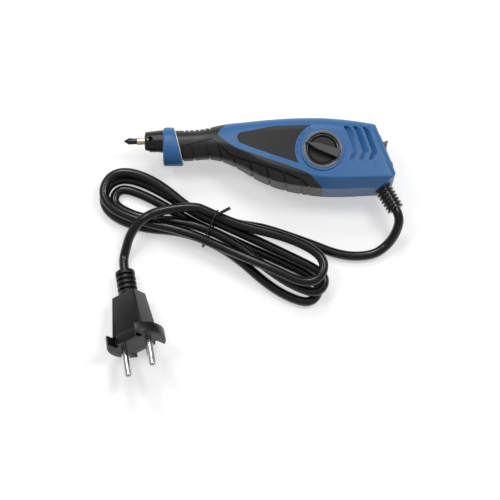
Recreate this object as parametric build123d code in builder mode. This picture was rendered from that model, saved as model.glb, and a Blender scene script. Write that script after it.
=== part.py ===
from build123d import *
import os
from math import asin, atan2, cos, pi, radians, sin, sqrt, tan

# Electric engraving pen, lying on its back shell with the dial up. Millimetres.
# +X runs from the needle to the rear, +Y from the belly to the spine, +Z up from the surface
# that it rests on. The origin is on that surface, straight under the dial's axis.

# Housing, measured from the dial's axis
front_reach = 96.0
rear_reach = 40.2
spine_height = 22.7
belly_depth = 23.3
housing_thick = 38.3
rest_trim = 0.15
mid_height = housing_thick / 2 - rest_trim
shell_wall = 2.6
least_round = 0.4
overrun = 60.0
seat_gap = 0.1
run_gap = 0.15

# Rear end of the housing
rear_slant = 21.4
rear_lift_reach = 25.5
rear_lift_slope = 11.3
rear_upper_round = 7.0
rear_lower_round = 4.0
rear_face_half = 18.2
rear_taper = 3.0
rear_edge_round = 4.5
relief_angle = -60.0
relief_reach = 37.0
relief_offset = 23.2

# Rubber grip
grip_depth = 1.2
groove_depth = 0.7
groove_width = 1.1
groove_lean = 18.0
groove_run = 50.0
groove_tops = ((-83.9, 9.0), (-75.1, 12.0), (-67.1, 10.5), (-57.1, 2.5), (-46.8, -2.0))
groove_tops += ((-36.4, -6.0), (-25.9, -10.0), (-15.4, -14.0))
spine_groove_first = -87.0
spine_groove_pitch = 3.2
spine_groove_count = 6
spine_groove_y = 13.6

# Outline of the rubber seen from above, and of the padded panel on it
grip_edge = ((-57.5, 40.0), (-58.3, 21.5), (-67.0, 12.5), (-54.5, 2.6))
grip_edge += ((-9.5, -14.8), (4.5, -27.0), (4.5, -50.0), (-110.0, -50.0), (-110.0, 40.0))
grip_edge_rounds = (0, 2.0, 3.2, 10.0, 10.0, 3.0, 0, 0, 0)
panel_edge = ((-88.5, 4.8), (-69.6, 9.6), (-56.9, -0.9), (-12.0, -18.3), (1.7, -30.2))
panel_edge += ((1.7, -45.0), (-88.5, -45.0))
panel_edge_rounds = (1.0, 2.0, 8.0, 8.0, 0, 0, 0)

# Front end: nose axis, collar and spigot
nose_y = 10.4
collar_y = 6.8
collar_radius = 12.3
collar_front = 100.2
collar_rear = 91.1
collar_slant = 14.0
collar_lip = 1.4
collar_round = 1.4
spigot_y = 7.2
spigot_radius = 10.6
spigot_front = 96.7
gasket_thick = 0.6
gasket_inset = 0.3
bulkhead_reach = 88.0

# Nose cone
nose_tip_reach = 112.1
nose_tip_radius = 5.9
nose_base_radius = 7.5
nose_flange = 2.0
nose_wall = 1.6
nose_bore_radius = 4.1
nose_hole_radius = 2.6
nose_round = 1.3
key_hole_radius = 1.6
lug_length = 4.2
lug_height = 1.0
lug_width = 2.4

# Needle, its holder and the rod
needle_reach = 125.3
needle_radius = 1.8
needle_point_radius = 0.3
needle_cone = 3.0
shank_radius = 1.15
shank_length = 12.0
holder_reach = 116.9
holder_neck_radius = 1.95
holder_neck_length = 6.5
holder_radius = 3.4
holder_length = 10.9
grub_radius = 1.5
grub_length = 2.1
grub_socket_radius = 0.75
rod_radius = 2.5
rod_socket = 3.5
rod_gap = 0.5
grub_reach = 108.4
grub_socket_depth = 1.2
lug_reach = 3.1

# Magnet: armature, core and coil
pole_reach = 40.0
pole_gap = 1.3
armature_thick = 4.0
core_y = 5.2
core_stack = 12.0
core_width = 24.0
core_length = 30.5
core_back = 6.0
centre_leg = 7.2
side_leg = 3.6
rivet_radius = 1.3
bobbin_wall = 0.8
bobbin_front_gap = 2.0
bobbin_height = 19.6
winding_inset = 0.3
winding_round = 1.5
pad_width = 4.6
pad_length = 3.0
nut_radius = 4.2
nut_length = 2.2

# Bearings, damper and return spring
bush_radius = 3.6
bush_gap = 0.05
front_bush_rear = 91.0
rear_bush_length = 6.0
rib_rear_reach = 64.0
rib_thick = 4.0
damper_thick = 2.4
damper_radius = 4.6
rod_collar_thick = 1.5
rod_collar_reach = 61.5
spring_radius = 3.8
spring_wire = 0.9
spring_turns = 4

# Tension slide, driven by the dial's cam
slide_thick = 1.2
slide_gap = 0.2
slide_front_reach = 50.6
slide_tab_thick = 1.2
slide_tab_radius = 4.8
slide_hole_radius = 3.0
slide_arm_width = 6.2
slide_arm_y = 9.3
guide_front = 34.0
guide_rear = 20.0
slide_head_half = 6.5
slide_tail = 7.5
cam_radius = 3.2
cam_throw = 0.7
slot_gap = 0.1
cam_angle = -73.5

# Dial
dial_height = 38.0
ring_radius = 13.7
ring_rise = 0.8
ring_round = 0.35
bezel_radius = 11.6
bezel_rise = 0.5
knob_radius = 10.0
knob_dish = 0.9
pocket_depth = 4.0
pocket_floor = 2.0
bar_angle = 159.6
bar_point = 11.4
bar_tail = 10.9
bar_half_width = 2.8
bar_waist = 3.5
bar_waist_half = 2.1
bar_rise = 4.4
bar_round = 0.5
bar_lift = 0.25
spindle_radius = 2.0
spindle_top = 37.2
spindle_shoulder_radius = 3.6
spindle_foot_radius = 1.6
clip_thick = 0.6
clip_radius = 3.6
washer_thick = 0.4

# Label plate
label_depth = 0.8
label_gap = 0.12
label_bite = 17.3
label_edge = ((-53.8, 10.2), (-52.0, 12.3), (-30.3, 15.7), (-5.5, 16.0))
label_edge += ((-14.8, -8.8), (-30.3, -3.2), (-44.9, 2.6), (-52.2, 6.0))
label_rounds = (2.0, 1.8, 30.0, 0, 0, 60.0, 60.0, 2.0)

# Louvres
louvre_depth = 2.0
louvre_count = 3
louvre_pitch = 6.0
louvre_line = ((13.2, 15.2), (18.7, -1.2), (16.6, -6.6))
cut_above = 2.0
louvre_edge = 0.7

# Housing screws
screw_radius = 1.45
screw_head_radius = 2.7
screw_head_height = 2.0
screw_seat_height = 12.0
screw_length = 14.0
screw_cross_length = 3.0
screw_cross_width = 0.7
screw_gap = 0.15
screw_tip = screw_seat_height + screw_length
screw_places = ((-57.0, 1.2), (-24.0, -11.8), (10.0, 16.0), (20.0, -15.6))
post_radius = 4.2
boss_radius = 3.2
boss_gap = 0.1

# Switch
switch_shift = -12.8
switch_flange_length = 22.0
switch_flange_width = 14.6
switch_flange_thick = 1.4
switch_body_length = 19.0
switch_body_width = 12.4
switch_body_depth = 9.5
switch_window_length = 17.0
switch_window_width = 10.2
switch_window_depth = 7.0
switch_gap = 0.15
rocker_width = 9.8
rocker_radius = 8.2
rocker_pivot_depth = 1.2
rocker_tip_height = 3.45
rocker_dip = 1.9
rocker_tilt = 11.0
rocker_skirt = 1.5
rocker_belly = 5.5
rocker_pin_length = 0.8
rocker_pin_radius = 0.9
terminal_length = 6.0
terminal_width = 4.8
terminal_thick = 0.8
terminal_pitch = 7.0

# Cord, strain relief and clamp
cord_diameter = 6.0
cord_radius = cord_diameter / 2
relief_length = 15.6
relief_core_radius = 4.4
relief_base_radius = 5.8
relief_tip_radius = 5.4
relief_ribs = 7
relief_rib_share = 0.5
relief_neck_radius = 3.9
relief_flange_radius = 5.4
relief_flange_thick = 1.6
relief_gap = 0.05
sheath_inside = 9.8
clamp_from = 5.8
clamp_width = 3.0
clamp_half_span = 5.2
clamp_thick = 1.6
clamp_post_radius = 1.7
clamp_screw_radius = 0.9
clamp_head_radius = 1.6
clamp_head_height = 1.0
clamp_screw_length = 7.0
wire_radius = 0.8
wire_side = 1.3
wire_lead = 2.4
wire_height = 10.9
wire_coil_ys = (6.6, 4.0)
switch_wire_bends = ((27.0, -12.0, 19.6), (23.4, -10.8, 19.2), (22.3, -8.8, 19.0))
coil_wire_bends = ((18.0, -2.5, 12.0),)
back_wire_bends = ((28.0, -9.5, 9.0),)

# Routes of the cord's free stretches, past the strain relief and up to the plug
bend_share = 0.45
lead_run = 5.5
lead_bends = ((47.5, -46.5, 11.0), (42.0, -53.7, 3.6), (32.0, -60.5, 3.0), (13.0, -60.8, 3.0))
lead_bends += ((-9.9, -51.5, 3.0),)
tail_run = 8.0
tail_bends = ((-98.0, -33.5, 17.2), (-111.5, -37.8, 17.4), (-120.8, -47.2, 12.4), (-124.6, -58.0, 4.2))

# Hank: an outline with a waist at the tie, wound in two layers
hank_x = -70.7
hank_y = -45.0
hank_turns = 3
hank_left_angle = 157.5
hank_right_angle = -26.5
hank_left_length = 74.5
hank_right_length = 82.5
hank_left_half = 15.0
hank_right_half = 18.6
hank_step = 6.7
hank_waist_half = 11.6
hank_waist_shift = 1.65
waist_lift = 1.5
hank_layer = 6.45
hank_climb_slope = 0.059
hank_bulge_share = 1.08
hank_entry_turn = 15.0
hank_entry_along = 20.5
hank_entry_across = 13.9
hank_exit_across = 8.6
hank_exit_height = 17.4
hank_sample = 1.0

# Tie
tie_radius = 0.6
tie_gap = 0.3
tie_tail = 5.0

# Plug
plug_radius = 18.5
plug_flange_thick = 6.5
plug_length = 51.0
plug_x = -124.5
plug_y = -72.0
plug_relief_radius = 6.2
plug_relief_length = 17.0
plug_relief_slots = 4
plug_slot_width = 1.5
plug_slot_depth = 1.6
plug_front_half = 11.8
plug_front_thick = 8.6
plug_shoulder_half = 8.8
plug_shoulder_thick = 6.6
plug_notch_half = 10.8
plug_notch_keep = 7.0
plug_crown_half = 8.0
plug_crown_rise = 10.0
plug_edge_round = 1.2
plug_heading = -79.9
plug_roll = 33.0
pin_radius = 2.4
pin_length = 19.0
pin_pitch = 19.0
pin_embed = 5.0
pin_root_radius = 2.2
pin_round_share = 0.8
bridge_half = 13.0
bridge_half_thick = 5.6

os.makedirs("parts", exist_ok=True)


def save(piece, label):
    """Label a finished piece and write it as its own file."""
    piece.part.label = label
    export_step(piece.part, "parts/" + label + ".step")


bow_share = 0.125

# Stations of the housing. Each row holds: place along X as a share of the front reach, spine as a
# share of the spine height, belly as a share of the belly depth, thickness as a share of the
# housing's, and then, as shares of the half thickness there, the spine's rounding, the belly
# bevel across and down, and the bevel's rounding.
station_shares = (
    (-1.000, 0.744, 0.125, 0.518, 0.95, 0.586, 0.586, 0.94),
    (-0.833, 0.767, 0.082, 0.507, 0.95, 0.586, 0.586, 0.93),
    (-0.750, 0.819, 0.052, 0.522, 0.94, 0.580, 0.580, 0.90),
    (-0.677, 0.885, 0.086, 0.582, 0.88, 0.560, 0.560, 0.84),
    (-0.604, 0.921, 0.185, 0.660, 0.79, 0.530, 0.530, 0.72),
    (-0.521, 0.934, 0.352, 0.749, 0.70, 0.490, 0.490, 0.56),
    (-0.417, 0.960, 0.592, 0.843, 0.62, 0.440, 0.450, 0.40),
    (-0.292, 0.987, 0.790, 0.927, 0.57, 0.380, 0.430, 0.28),
    (-0.156, 1.004, 0.914, 0.976, 0.54, 0.310, 0.420, 0.18),
    (0.000, 1.000, 0.996, 1.000, 0.52, 0.270, 0.420, 0.10),
    (0.156, 0.947, 1.000, 1.000, 0.52, 0.260, 0.420, 0.09),
    (0.312, 0.855, 0.970, 0.979, 0.52, 0.260, 0.420, 0.09),
    (0.542, 0.661, 0.950, 0.940, 0.52, 0.260, 0.420, 0.09),
)


def refined(rows):
    """Stations with one more between each two, on smooth curves through them."""

    def slope(index, column):
        low = max(index - 1, 0)
        high = min(index + 1, len(rows) - 1)
        return (rows[high][column] - rows[low][column]) / (rows[high][0] - rows[low][0])

    finer = []
    for index, (first, second) in enumerate(zip(rows, rows[1:])):
        middle = [(first[0] + second[0]) / 2]
        for column in range(1, len(first)):
            bend = (slope(index, column) - slope(index + 1, column)) * (second[0] - first[0])
            middle.append((first[column] + second[column]) / 2 + bend * bow_share)
        finer += [first, middle]
    return finer + [rows[-1]]


def drawn_in(leg, turn, inset):
    """Leg of a bevel after its outline is drawn in, at a corner that turns by an angle."""
    return leg - inset * (1 - tan(turn / 2))


def lines_meet(first_angle, first_reach, second_angle, second_reach):
    """Point where two lines meet, each given by the angle and length of its normal."""
    a, b = cos(first_angle), sin(first_angle)
    c, d = cos(second_angle), sin(second_angle)
    width = a * d - b * c
    return ((first_reach * d - second_reach * b) / width, (second_reach * a - first_reach * c) / width)


def rear_outline(inset):
    """Outline, seen from above, that cuts the housing's rear end, drawn in by an inset."""
    lift = (radians(90 - rear_lift_slope), rear_lift_reach - inset)
    rear = (radians(rear_slant), rear_reach * cos(radians(rear_slant)) - inset)
    seat = (radians(relief_angle), relief_reach - inset)
    left = (pi, 2 * front_reach)
    low = (-pi / 2, 2 * belly_depth)
    points = [
        lines_meet(*left, *lift),
        lines_meet(*lift, *rear),
        lines_meet(*rear, *seat),
        lines_meet(*seat, *low),
        lines_meet(*low, *left),
    ]
    radii = [
        0,
        max(rear_upper_round - inset, least_round),
        max(rear_lower_round - inset, least_round),
        0,
        0,
    ]
    return points, radii


stations = refined(station_shares)
rear_normal = Vector(cos(radians(rear_slant)), sin(radians(rear_slant)), 0)
rear_tangent = Vector(-sin(radians(rear_slant)), cos(radians(rear_slant)), 0)


def housing_form(inset):
    """Outer shape of the housing, drawn in by an inset all round."""
    with BuildPart() as form:
        for x_share, spine, belly, thick, spine_round, bevel_y, bevel_z, bevel_round in stations:
            half = housing_thick * thick / 2
            top = spine * spine_height - inset
            bottom = -belly * belly_depth + inset
            turn = atan2(bevel_z, bevel_y)
            across = drawn_in(bevel_y * half, turn, inset)
            down = drawn_in(bevel_z * half, pi / 2 - turn, inset)
            level = half - inset
            corner = max(spine_round * half - inset, least_round)
            edge = max(bevel_round * half - inset, least_round)
            plane = Plane(origin=(x_share * front_reach, 0, mid_height), x_dir=(0, 1, 0), z_dir=(1, 0, 0))
            with BuildSketch(plane):
                with BuildLine():
                    FilletPolyline(
                        (top, -level),
                        (top, level),
                        (bottom + across, level),
                        (bottom, level - down),
                        (bottom, down - level),
                        (bottom + across, -level),
                        radius=[corner, corner, edge, edge, edge, edge],
                        close=True,
                    )
                make_face()
        loft(ruled=True)
        points, radii = rear_outline(inset)
        with BuildSketch(Plane.XY.offset(mid_height - housing_thick)):
            with BuildLine():
                FilletPolyline(*points, radius=radii, close=True)
            make_face()
        extrude(amount=2 * housing_thick, mode=Mode.INTERSECT)
        reach = rear_reach * cos(radians(rear_slant)) - inset
        level = rear_face_half - inset
        flare = level + (reach + 2 * front_reach) * tan(radians(rear_taper))
        edge = max(rear_edge_round - inset, least_round)
        side = Plane(origin=(0, 0, mid_height), x_dir=rear_normal, z_dir=rear_tangent)
        with BuildSketch(side.offset(-2 * front_reach)):
            with BuildLine():
                FilletPolyline(
                    (-2 * front_reach, -flare),
                    (reach, -level),
                    (reach, level),
                    (-2 * front_reach, flare),
                    radius=[0, edge, edge, 0],
                    close=True,
                )
            make_face()
        extrude(amount=4 * front_reach, mode=Mode.INTERSECT)
    return form.part


def rod(start, end, radius, tip_radius=None):
    """Round bar from one point to another, or a cone where the far radius differs."""
    along = Vector(*end) - Vector(*start)
    plane = Plane(origin=start, z_dir=along)
    foot = (Align.CENTER, Align.CENTER, Align.MIN)
    if tip_radius is None:
        return plane * Cylinder(radius, along.length, align=foot, mode=Mode.PRIVATE)
    return plane * Cone(radius, tip_radius, along.length, align=foot, mode=Mode.PRIVATE)


def axle(front, rear, radius, rear_radius=None, y=nose_y):
    """Round bar along X, from one place to another on the rod's axis."""
    return rod((front, y, mid_height), (rear, y, mid_height), radius, rear_radius)


def pin(place, low, high, radius):
    """Upright round bar at a place, from one height to another."""
    return rod((*place, low), (*place, high), radius)


def block(near, far):
    """Box from its lowest corner to its highest."""
    size = Vector(*far) - Vector(*near)
    return Pos(*near) * Box(*size, align=(Align.MIN, Align.MIN, Align.MIN), mode=Mode.PRIVATE)


def slab(points, low, high, radii=0):
    """Upright prism over an outline seen from above."""
    with BuildPart() as piece:
        with BuildSketch(Plane.XY.offset(low)):
            with BuildLine():
                if radii:
                    FilletPolyline(*points, radius=radii, close=True)
                else:
                    Polyline(*points, close=True)
            make_face()
        extrude(amount=high - low)
    return piece.part


# Forms of the housing at the depths that the pieces use
sky = housing_thick + overrun
rest_half = block((-overrun * 2, -overrun, 0), (overrun, overrun, sky))
upper_half = block((-overrun * 2, -overrun, mid_height), (overrun, overrun, sky))
lower_half = block((-overrun * 2, -overrun, -overrun), (overrun, overrun, mid_height))
outer_form = housing_form(0) & rest_half
groove_form = housing_form(groove_depth)
label_form = housing_form(label_depth)
grip_form = housing_form(grip_depth)
cavity_form = housing_form(shell_wall)


def behind(reach):
    """Everything behind the slanted plane of the collar, moved back to a reach on its axis."""
    plane = Plane(
        origin=(-reach, collar_y, mid_height),
        z_dir=(cos(radians(collar_slant)), sin(radians(collar_slant)), 0),
    )
    foot = (Align.CENTER, Align.CENTER, Align.MIN)
    return plane * Box(overrun * 2, overrun * 2, overrun * 3, align=foot, mode=Mode.PRIVATE)


gasket_step = gasket_thick / cos(radians(collar_slant))
housing_zone = behind(collar_rear - gasket_step)
gasket_zone = behind(collar_rear)

# Rubber grip: the zone it covers, its border and its grooves
grip_zone = slab(grip_edge, -overrun, sky, grip_edge_rounds)
with BuildPart() as groove_cutter:
    with BuildSketch(Plane.XY):
        with BuildLine():
            FilletPolyline(*panel_edge, radius=panel_edge_rounds, close=True)
        make_face()
        offset(amount=-groove_width, mode=Mode.SUBTRACT)
    extrude(amount=housing_thick)
with BuildPart() as pad_grooves:
    with BuildSketch(Plane.XY):
        for place in groove_tops:
            with Locations(Pos(*place) * Rot(0, 0, groove_lean)):
                Rectangle(groove_width, groove_run, align=(Align.CENTER, Align.MAX))
        with BuildLine():
            FilletPolyline(*panel_edge, radius=panel_edge_rounds, close=True)
        make_face(mode=Mode.INTERSECT)
    extrude(amount=housing_thick)
with BuildPart() as spine_grooves:
    with BuildSketch(Plane.XY):
        for index in range(spine_groove_count):
            with Locations((spine_groove_first + index * spine_groove_pitch, spine_groove_y)):
                Rectangle(groove_width, groove_run, align=(Align.CENTER, Align.MIN))
    extrude(amount=housing_thick)
grooves = (groove_cutter.part + pad_grooves.part + spine_grooves.part) - groove_form
grip_layer = (outer_form - grip_form) & grip_zone & housing_zone
grip_skin = grip_layer - grooves

with BuildPart() as grip_dial_side:
    add(grip_skin)
    add(upper_half, mode=Mode.INTERSECT)

with BuildPart() as grip_back_side:
    add(grip_skin)
    add(lower_half, mode=Mode.INTERSECT)
    for place in screw_places:
        add(pin(place, -overrun, screw_seat_height, screw_head_radius + screw_gap), mode=Mode.SUBTRACT)

save(grip_dial_side, "grip_dial_side")
save(grip_back_side, "grip_back_side")
print("grip:", round(grip_dial_side.part.volume), round(grip_back_side.part.volume))


def place_at(plane, x, y, z):
    """World point of a point given on a plane."""
    return plane.from_local_coords(Vector(x, y, z))


# Planes of the switch and of the strain relief: their z points out of the housing
rear_depth = rear_reach * cos(radians(rear_slant))
switch_plane = Plane(
    origin=rear_normal * rear_depth + rear_tangent * switch_shift + Vector(0, 0, mid_height),
    x_dir=rear_tangent,
    z_dir=rear_normal,
)
relief_axis = Vector(cos(radians(relief_angle)), sin(radians(relief_angle)), 0)
relief_side = Vector(-sin(radians(relief_angle)), cos(radians(relief_angle)), 0)
relief_plane = Plane(
    origin=relief_axis * relief_reach + relief_side * relief_offset + Vector(0, 0, mid_height),
    x_dir=relief_side,
    z_dir=relief_axis,
)


def along_relief(start, end, radius, tip_radius=None, side=0):
    """Round bar along the strain relief, from one distance outside its seat to another."""
    first = place_at(relief_plane, side, 0, start)
    return rod(first, place_at(relief_plane, side, 0, end), radius, tip_radius)


# Supports inside the housing: wall round the rear bush, pads under the magnet, screw posts
core_front = -pole_reach
core_rear = core_front + core_length
core_low = core_y - core_width / 2
core_high = core_y + core_width / 2
core_floor = mid_height - core_stack / 2
core_roof = mid_height + core_stack / 2
bush_rib = block((-rib_rear_reach - rib_thick, -overrun, -overrun), (-rib_rear_reach, overrun, sky))
bulkhead = block((-front_reach * 2, -overrun, -overrun), (-bulkhead_reach, overrun, sky))


def core_pads(low, high):
    """Four pads that hold the magnet's back bar and side legs, between two heights."""
    pads = []
    for near in (core_low, core_high - pad_width):
        pads.append(block((core_rear - core_back, near, low), (core_rear, near + pad_width, high)))
    for near in (core_low, core_high - side_leg):
        pads.append(block((core_front, near, low), (core_front + pad_length, near + side_leg, high)))
    return pads


def clamp_bars(low, high, radius):
    """Two upright bars beside the cord, between two heights measured from its axis."""
    bars = []
    for side in (-clamp_half_span, clamp_half_span):
        first = place_at(relief_plane, side, low, clamp_middle)
        bars.append(rod(first, place_at(relief_plane, side, high, clamp_middle), radius))
    return bars


slide_low = mid_height + bobbin_height / 2 + slide_gap
slide_high = slide_low + slide_thick
guide_half = slide_arm_width / 2
slide_guide = block(
    (-guide_front, slide_arm_y - guide_half, slide_high + slide_gap),
    (-guide_rear, slide_arm_y + guide_half, sky),
)
clamp_middle = -clamp_from - clamp_width / 2
under = (Align.CENTER, Align.MAX, Align.CENTER)
saddle_size = (clamp_half_span * 2, overrun, clamp_width)
saddle_box = Box(*saddle_size, align=under, mode=Mode.PRIVATE)
saddle = relief_plane * Pos(0, -cord_radius, clamp_middle) * saddle_box
top_height = mid_height + housing_thick / 2
pocket_seat = dial_height - pocket_depth
pocket_base = pocket_seat - pocket_floor
centre = (0, 0)

with BuildPart() as back_room:
    add(cavity_form)
    add(lower_half, mode=Mode.INTERSECT)
    add(bush_rib, mode=Mode.SUBTRACT)
    add(bulkhead, mode=Mode.SUBTRACT)
    add(core_pads(-overrun, core_floor), mode=Mode.SUBTRACT)
    add(clamp_bars(-overrun, 0, clamp_post_radius), mode=Mode.SUBTRACT)
    add(saddle, mode=Mode.SUBTRACT)
    for place in screw_places:
        add(pin(place, -overrun, mid_height - boss_gap, post_radius), mode=Mode.SUBTRACT)

with BuildPart() as dial_room:
    add(cavity_form)
    add(upper_half, mode=Mode.INTERSECT)
    add(bush_rib, mode=Mode.SUBTRACT)
    add(bulkhead, mode=Mode.SUBTRACT)
    add(core_pads(core_roof, sky), mode=Mode.SUBTRACT)
    add(slide_guide, mode=Mode.SUBTRACT)
    add(pin(centre, pocket_base, sky, ring_radius), mode=Mode.SUBTRACT)
    for place in screw_places:
        add(pin(place, mid_height + boss_gap, sky, boss_radius), mode=Mode.SUBTRACT)

# What both halves share: the spigot in front and the openings that run through
with BuildPart() as openings:
    add(axle(-spigot_front, -front_bush_rear, bush_radius))
    add(axle(-front_bush_rear, -bulkhead_reach, rod_radius + rod_gap))
    add(axle(-rib_rear_reach - rib_thick, -rib_rear_reach, bush_radius))
    add(along_relief(-shell_wall * 2, shell_wall, relief_neck_radius + relief_gap))
    add(along_relief(-shell_wall - relief_flange_thick, -shell_wall, relief_flange_radius + relief_gap))
    with Locations(switch_plane.location):
        Box(switch_body_length + switch_gap, switch_body_width + switch_gap, shell_wall * 4)

spigot = axle(-spigot_front, -bulkhead_reach, spigot_radius, y=spigot_y) - housing_zone
shell_body = (outer_form & housing_zone) - grip_layer + spigot - openings.part
print("shell body:", round(shell_body.volume), shell_body.is_valid, len(shell_body.solids()))

with BuildPart() as back_shell:
    add(shell_body)
    add(lower_half, mode=Mode.INTERSECT)
    add(back_room.part, mode=Mode.SUBTRACT)
    add(clamp_bars(-clamp_post_radius, cord_radius, clamp_post_radius))
    clamp_hole = cord_radius + clamp_thick - clamp_screw_length
    add(clamp_bars(clamp_hole, cord_radius, clamp_screw_radius), mode=Mode.SUBTRACT)
    for place in screw_places:
        add(pin(place, -overrun, screw_seat_height, screw_head_radius + screw_gap), mode=Mode.SUBTRACT)
        add(pin(place, 0, mid_height, screw_radius + screw_gap), mode=Mode.SUBTRACT)

save(back_shell, "back_shell")
print("back shell:", round(back_shell.part.volume), back_shell.part.is_valid, len(back_shell.solids()))


def label_zone(inset):
    """Prism over the label plate's outline, drawn in by a gap."""
    with BuildPart() as piece:
        with BuildSketch(Plane.XY.offset(mid_height)):
            with BuildLine():
                FilletPolyline(*label_edge, radius=label_rounds, close=True)
            make_face()
            Circle(label_bite, mode=Mode.SUBTRACT)
            if inset:
                offset(amount=-inset)
        extrude(amount=housing_thick)
    return piece.part


def carried(section, near, far):
    """Cut with one section across X, carried from one place to another seen from above."""
    run = Vector(*far, 0) - Vector(*near, 0)
    with BuildPart() as piece:
        with BuildSketch(Plane(origin=(*near, top_height), x_dir=(1, 0, 0), z_dir=(0, -1, 0))):
            with BuildLine():
                Polyline(*section, close=True)
            make_face()
        extrude(amount=run.length, dir=run)
    return piece.part


# Louvres: each slopes up from its foot to its ridge
louvre_top = louvre_pitch - louvre_edge
louvre_wedge = ((0, cut_above), (0, -louvre_depth), (louvre_top, 0), (louvre_top, cut_above))
louvre_cuts = []
for index in range(louvre_count):
    shift = index * louvre_pitch
    corners = [(x + shift, y) for x, y in louvre_line]
    for near, far in zip(corners, corners[1:]):
        louvre_cuts.append(carried(louvre_wedge, near, far))

with BuildPart() as dial_side_shell:
    add(shell_body)
    add(upper_half, mode=Mode.INTERSECT)
    add(dial_room.part, mode=Mode.SUBTRACT)
    add(pin(centre, pocket_seat, top_height + ring_rise, ring_radius))
    ring_edges = dial_side_shell.edges().filter_by(GeomType.CIRCLE).filter_by_position(
        Axis.Z, top_height + ring_rise - least_round, top_height + ring_rise + least_round
    )
    fillet(ring_edges, ring_round)
    add(pin(centre, pocket_seat, sky, bezel_radius), mode=Mode.SUBTRACT)
    add(pin(centre, 0, sky, spindle_radius + run_gap), mode=Mode.SUBTRACT)
    add(louvre_cuts, mode=Mode.SUBTRACT)
    add(label_zone(0) - label_form, mode=Mode.SUBTRACT)
    for place in screw_places:
        add(pin(place, mid_height, screw_tip + screw_gap, screw_radius), mode=Mode.SUBTRACT)

save(dial_side_shell, "dial_side_shell")
shell_solids = len(dial_side_shell.solids())
print("dial shell:", round(dial_side_shell.part.volume), dial_side_shell.part.is_valid, shell_solids)

with BuildPart() as label_plate:
    add(outer_form)
    add(label_form, mode=Mode.SUBTRACT)
    add(label_zone(label_gap), mode=Mode.INTERSECT)

save(label_plate, "label_plate")
print("label:", round(label_plate.part.volume), len(label_plate.solids()))

# Front end: ring, pale gasket and nose
with BuildPart() as collar_ring:
    add(axle(-collar_front, -bulkhead_reach, collar_radius, y=collar_y))
    fillet(collar_ring.edges().filter_by(GeomType.CIRCLE).sort_by(Axis.X)[0], collar_round)
    add(gasket_zone, mode=Mode.SUBTRACT)
    lip_rear = collar_lip - collar_front
    add(axle(lip_rear, -bulkhead_reach, spigot_radius + seat_gap, y=spigot_y), mode=Mode.SUBTRACT)
    add(axle(-collar_front, lip_rear, nose_base_radius + seat_gap), mode=Mode.SUBTRACT)

with BuildPart() as collar_gasket:
    add(axle(-collar_front, -bulkhead_reach + collar_lip, collar_radius - gasket_inset, y=collar_y))
    add(gasket_zone, mode=Mode.INTERSECT)
    add(housing_zone, mode=Mode.SUBTRACT)
    add(axle(-collar_front, 0, spigot_radius, y=spigot_y), mode=Mode.SUBTRACT)

nose_rear = -spigot_front - nose_flange
bore_front = nose_wall - nose_tip_reach
with BuildPart() as nose_cone:
    add(axle(-nose_tip_reach, nose_rear, nose_tip_radius, nose_base_radius))
    fillet(nose_cone.edges().filter_by(GeomType.CIRCLE).sort_by(Axis.X)[0], nose_round)
    add(axle(nose_rear, -spigot_front, spigot_radius, y=spigot_y))
    with Locations((lug_reach - nose_tip_reach, nose_y - nose_tip_radius, mid_height)):
        Box(lug_length, lug_height * 2, lug_width, align=(Align.MIN, Align.CENTER, Align.CENTER))
    add(axle(-nose_tip_reach, bore_front, nose_hole_radius), mode=Mode.SUBTRACT)
    add(axle(bore_front, -spigot_front, nose_bore_radius), mode=Mode.SUBTRACT)
    add(pin((-grub_reach, nose_y), mid_height, sky, key_hole_radius), mode=Mode.SUBTRACT)

# Needle, brass holder and its screw, and the rod that carries them
neck_rear = holder_neck_length - holder_reach
holder_rear = neck_rear + holder_length
rod_front = holder_rear - rod_socket
shank_rear = shank_length - holder_reach
with BuildPart() as needle:
    add(axle(-needle_reach, needle_cone - needle_reach, needle_point_radius, needle_radius))
    add(axle(needle_cone - needle_reach, -holder_reach, needle_radius))
    add(axle(-holder_reach, shank_rear, shank_radius))

with BuildPart() as needle_holder:
    add(axle(-holder_reach, neck_rear, holder_neck_radius))
    add(axle(neck_rear, holder_rear, holder_radius))
    add(axle(-holder_reach, shank_rear, shank_radius), mode=Mode.SUBTRACT)
    add(axle(rod_front, holder_rear, rod_radius), mode=Mode.SUBTRACT)
    add(pin((-grub_reach, nose_y), mid_height, sky, grub_radius), mode=Mode.SUBTRACT)

grub_low = mid_height + shank_radius
with BuildPart() as grub_screw:
    add(pin((-grub_reach, nose_y), grub_low, grub_low + grub_length, grub_radius))
    with BuildSketch(Plane((-grub_reach, nose_y, grub_low + grub_length))):
        RegularPolygon(grub_socket_radius, 6)
    extrude(amount=-grub_socket_depth, mode=Mode.SUBTRACT)

rod_rear = core_front - pole_gap
rod_collar_front = -rod_collar_reach
rod_collar_rear = rod_collar_front + rod_collar_thick
with BuildPart() as plunger_rod:
    add(axle(rod_front, rod_rear, rod_radius))
    add(axle(rod_collar_front, rod_collar_rear, damper_radius))

armature_front = rod_rear - armature_thick
with BuildPart() as armature:
    add(block((armature_front, core_low, core_floor), (rod_rear, core_high, core_roof)))
    add(axle(armature_front, rod_rear, rod_radius), mode=Mode.SUBTRACT)

with BuildPart() as armature_nut:
    with BuildSketch(Plane(origin=(armature_front, nose_y, mid_height), z_dir=(-1, 0, 0))):
        RegularPolygon(nut_radius, 6)
        Circle(rod_radius, mode=Mode.SUBTRACT)
    extrude(amount=nut_length)

with BuildPart() as front_bush:
    add(axle(-spigot_front, -front_bush_rear, bush_radius))
    add(axle(-spigot_front, -front_bush_rear, rod_radius + bush_gap), mode=Mode.SUBTRACT)

with BuildPart() as rear_bush:
    add(axle(-rib_rear_reach - rear_bush_length, -rib_rear_reach, bush_radius))
    add(axle(-rib_rear_reach - rear_bush_length, 0, rod_radius + bush_gap), mode=Mode.SUBTRACT)

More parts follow.
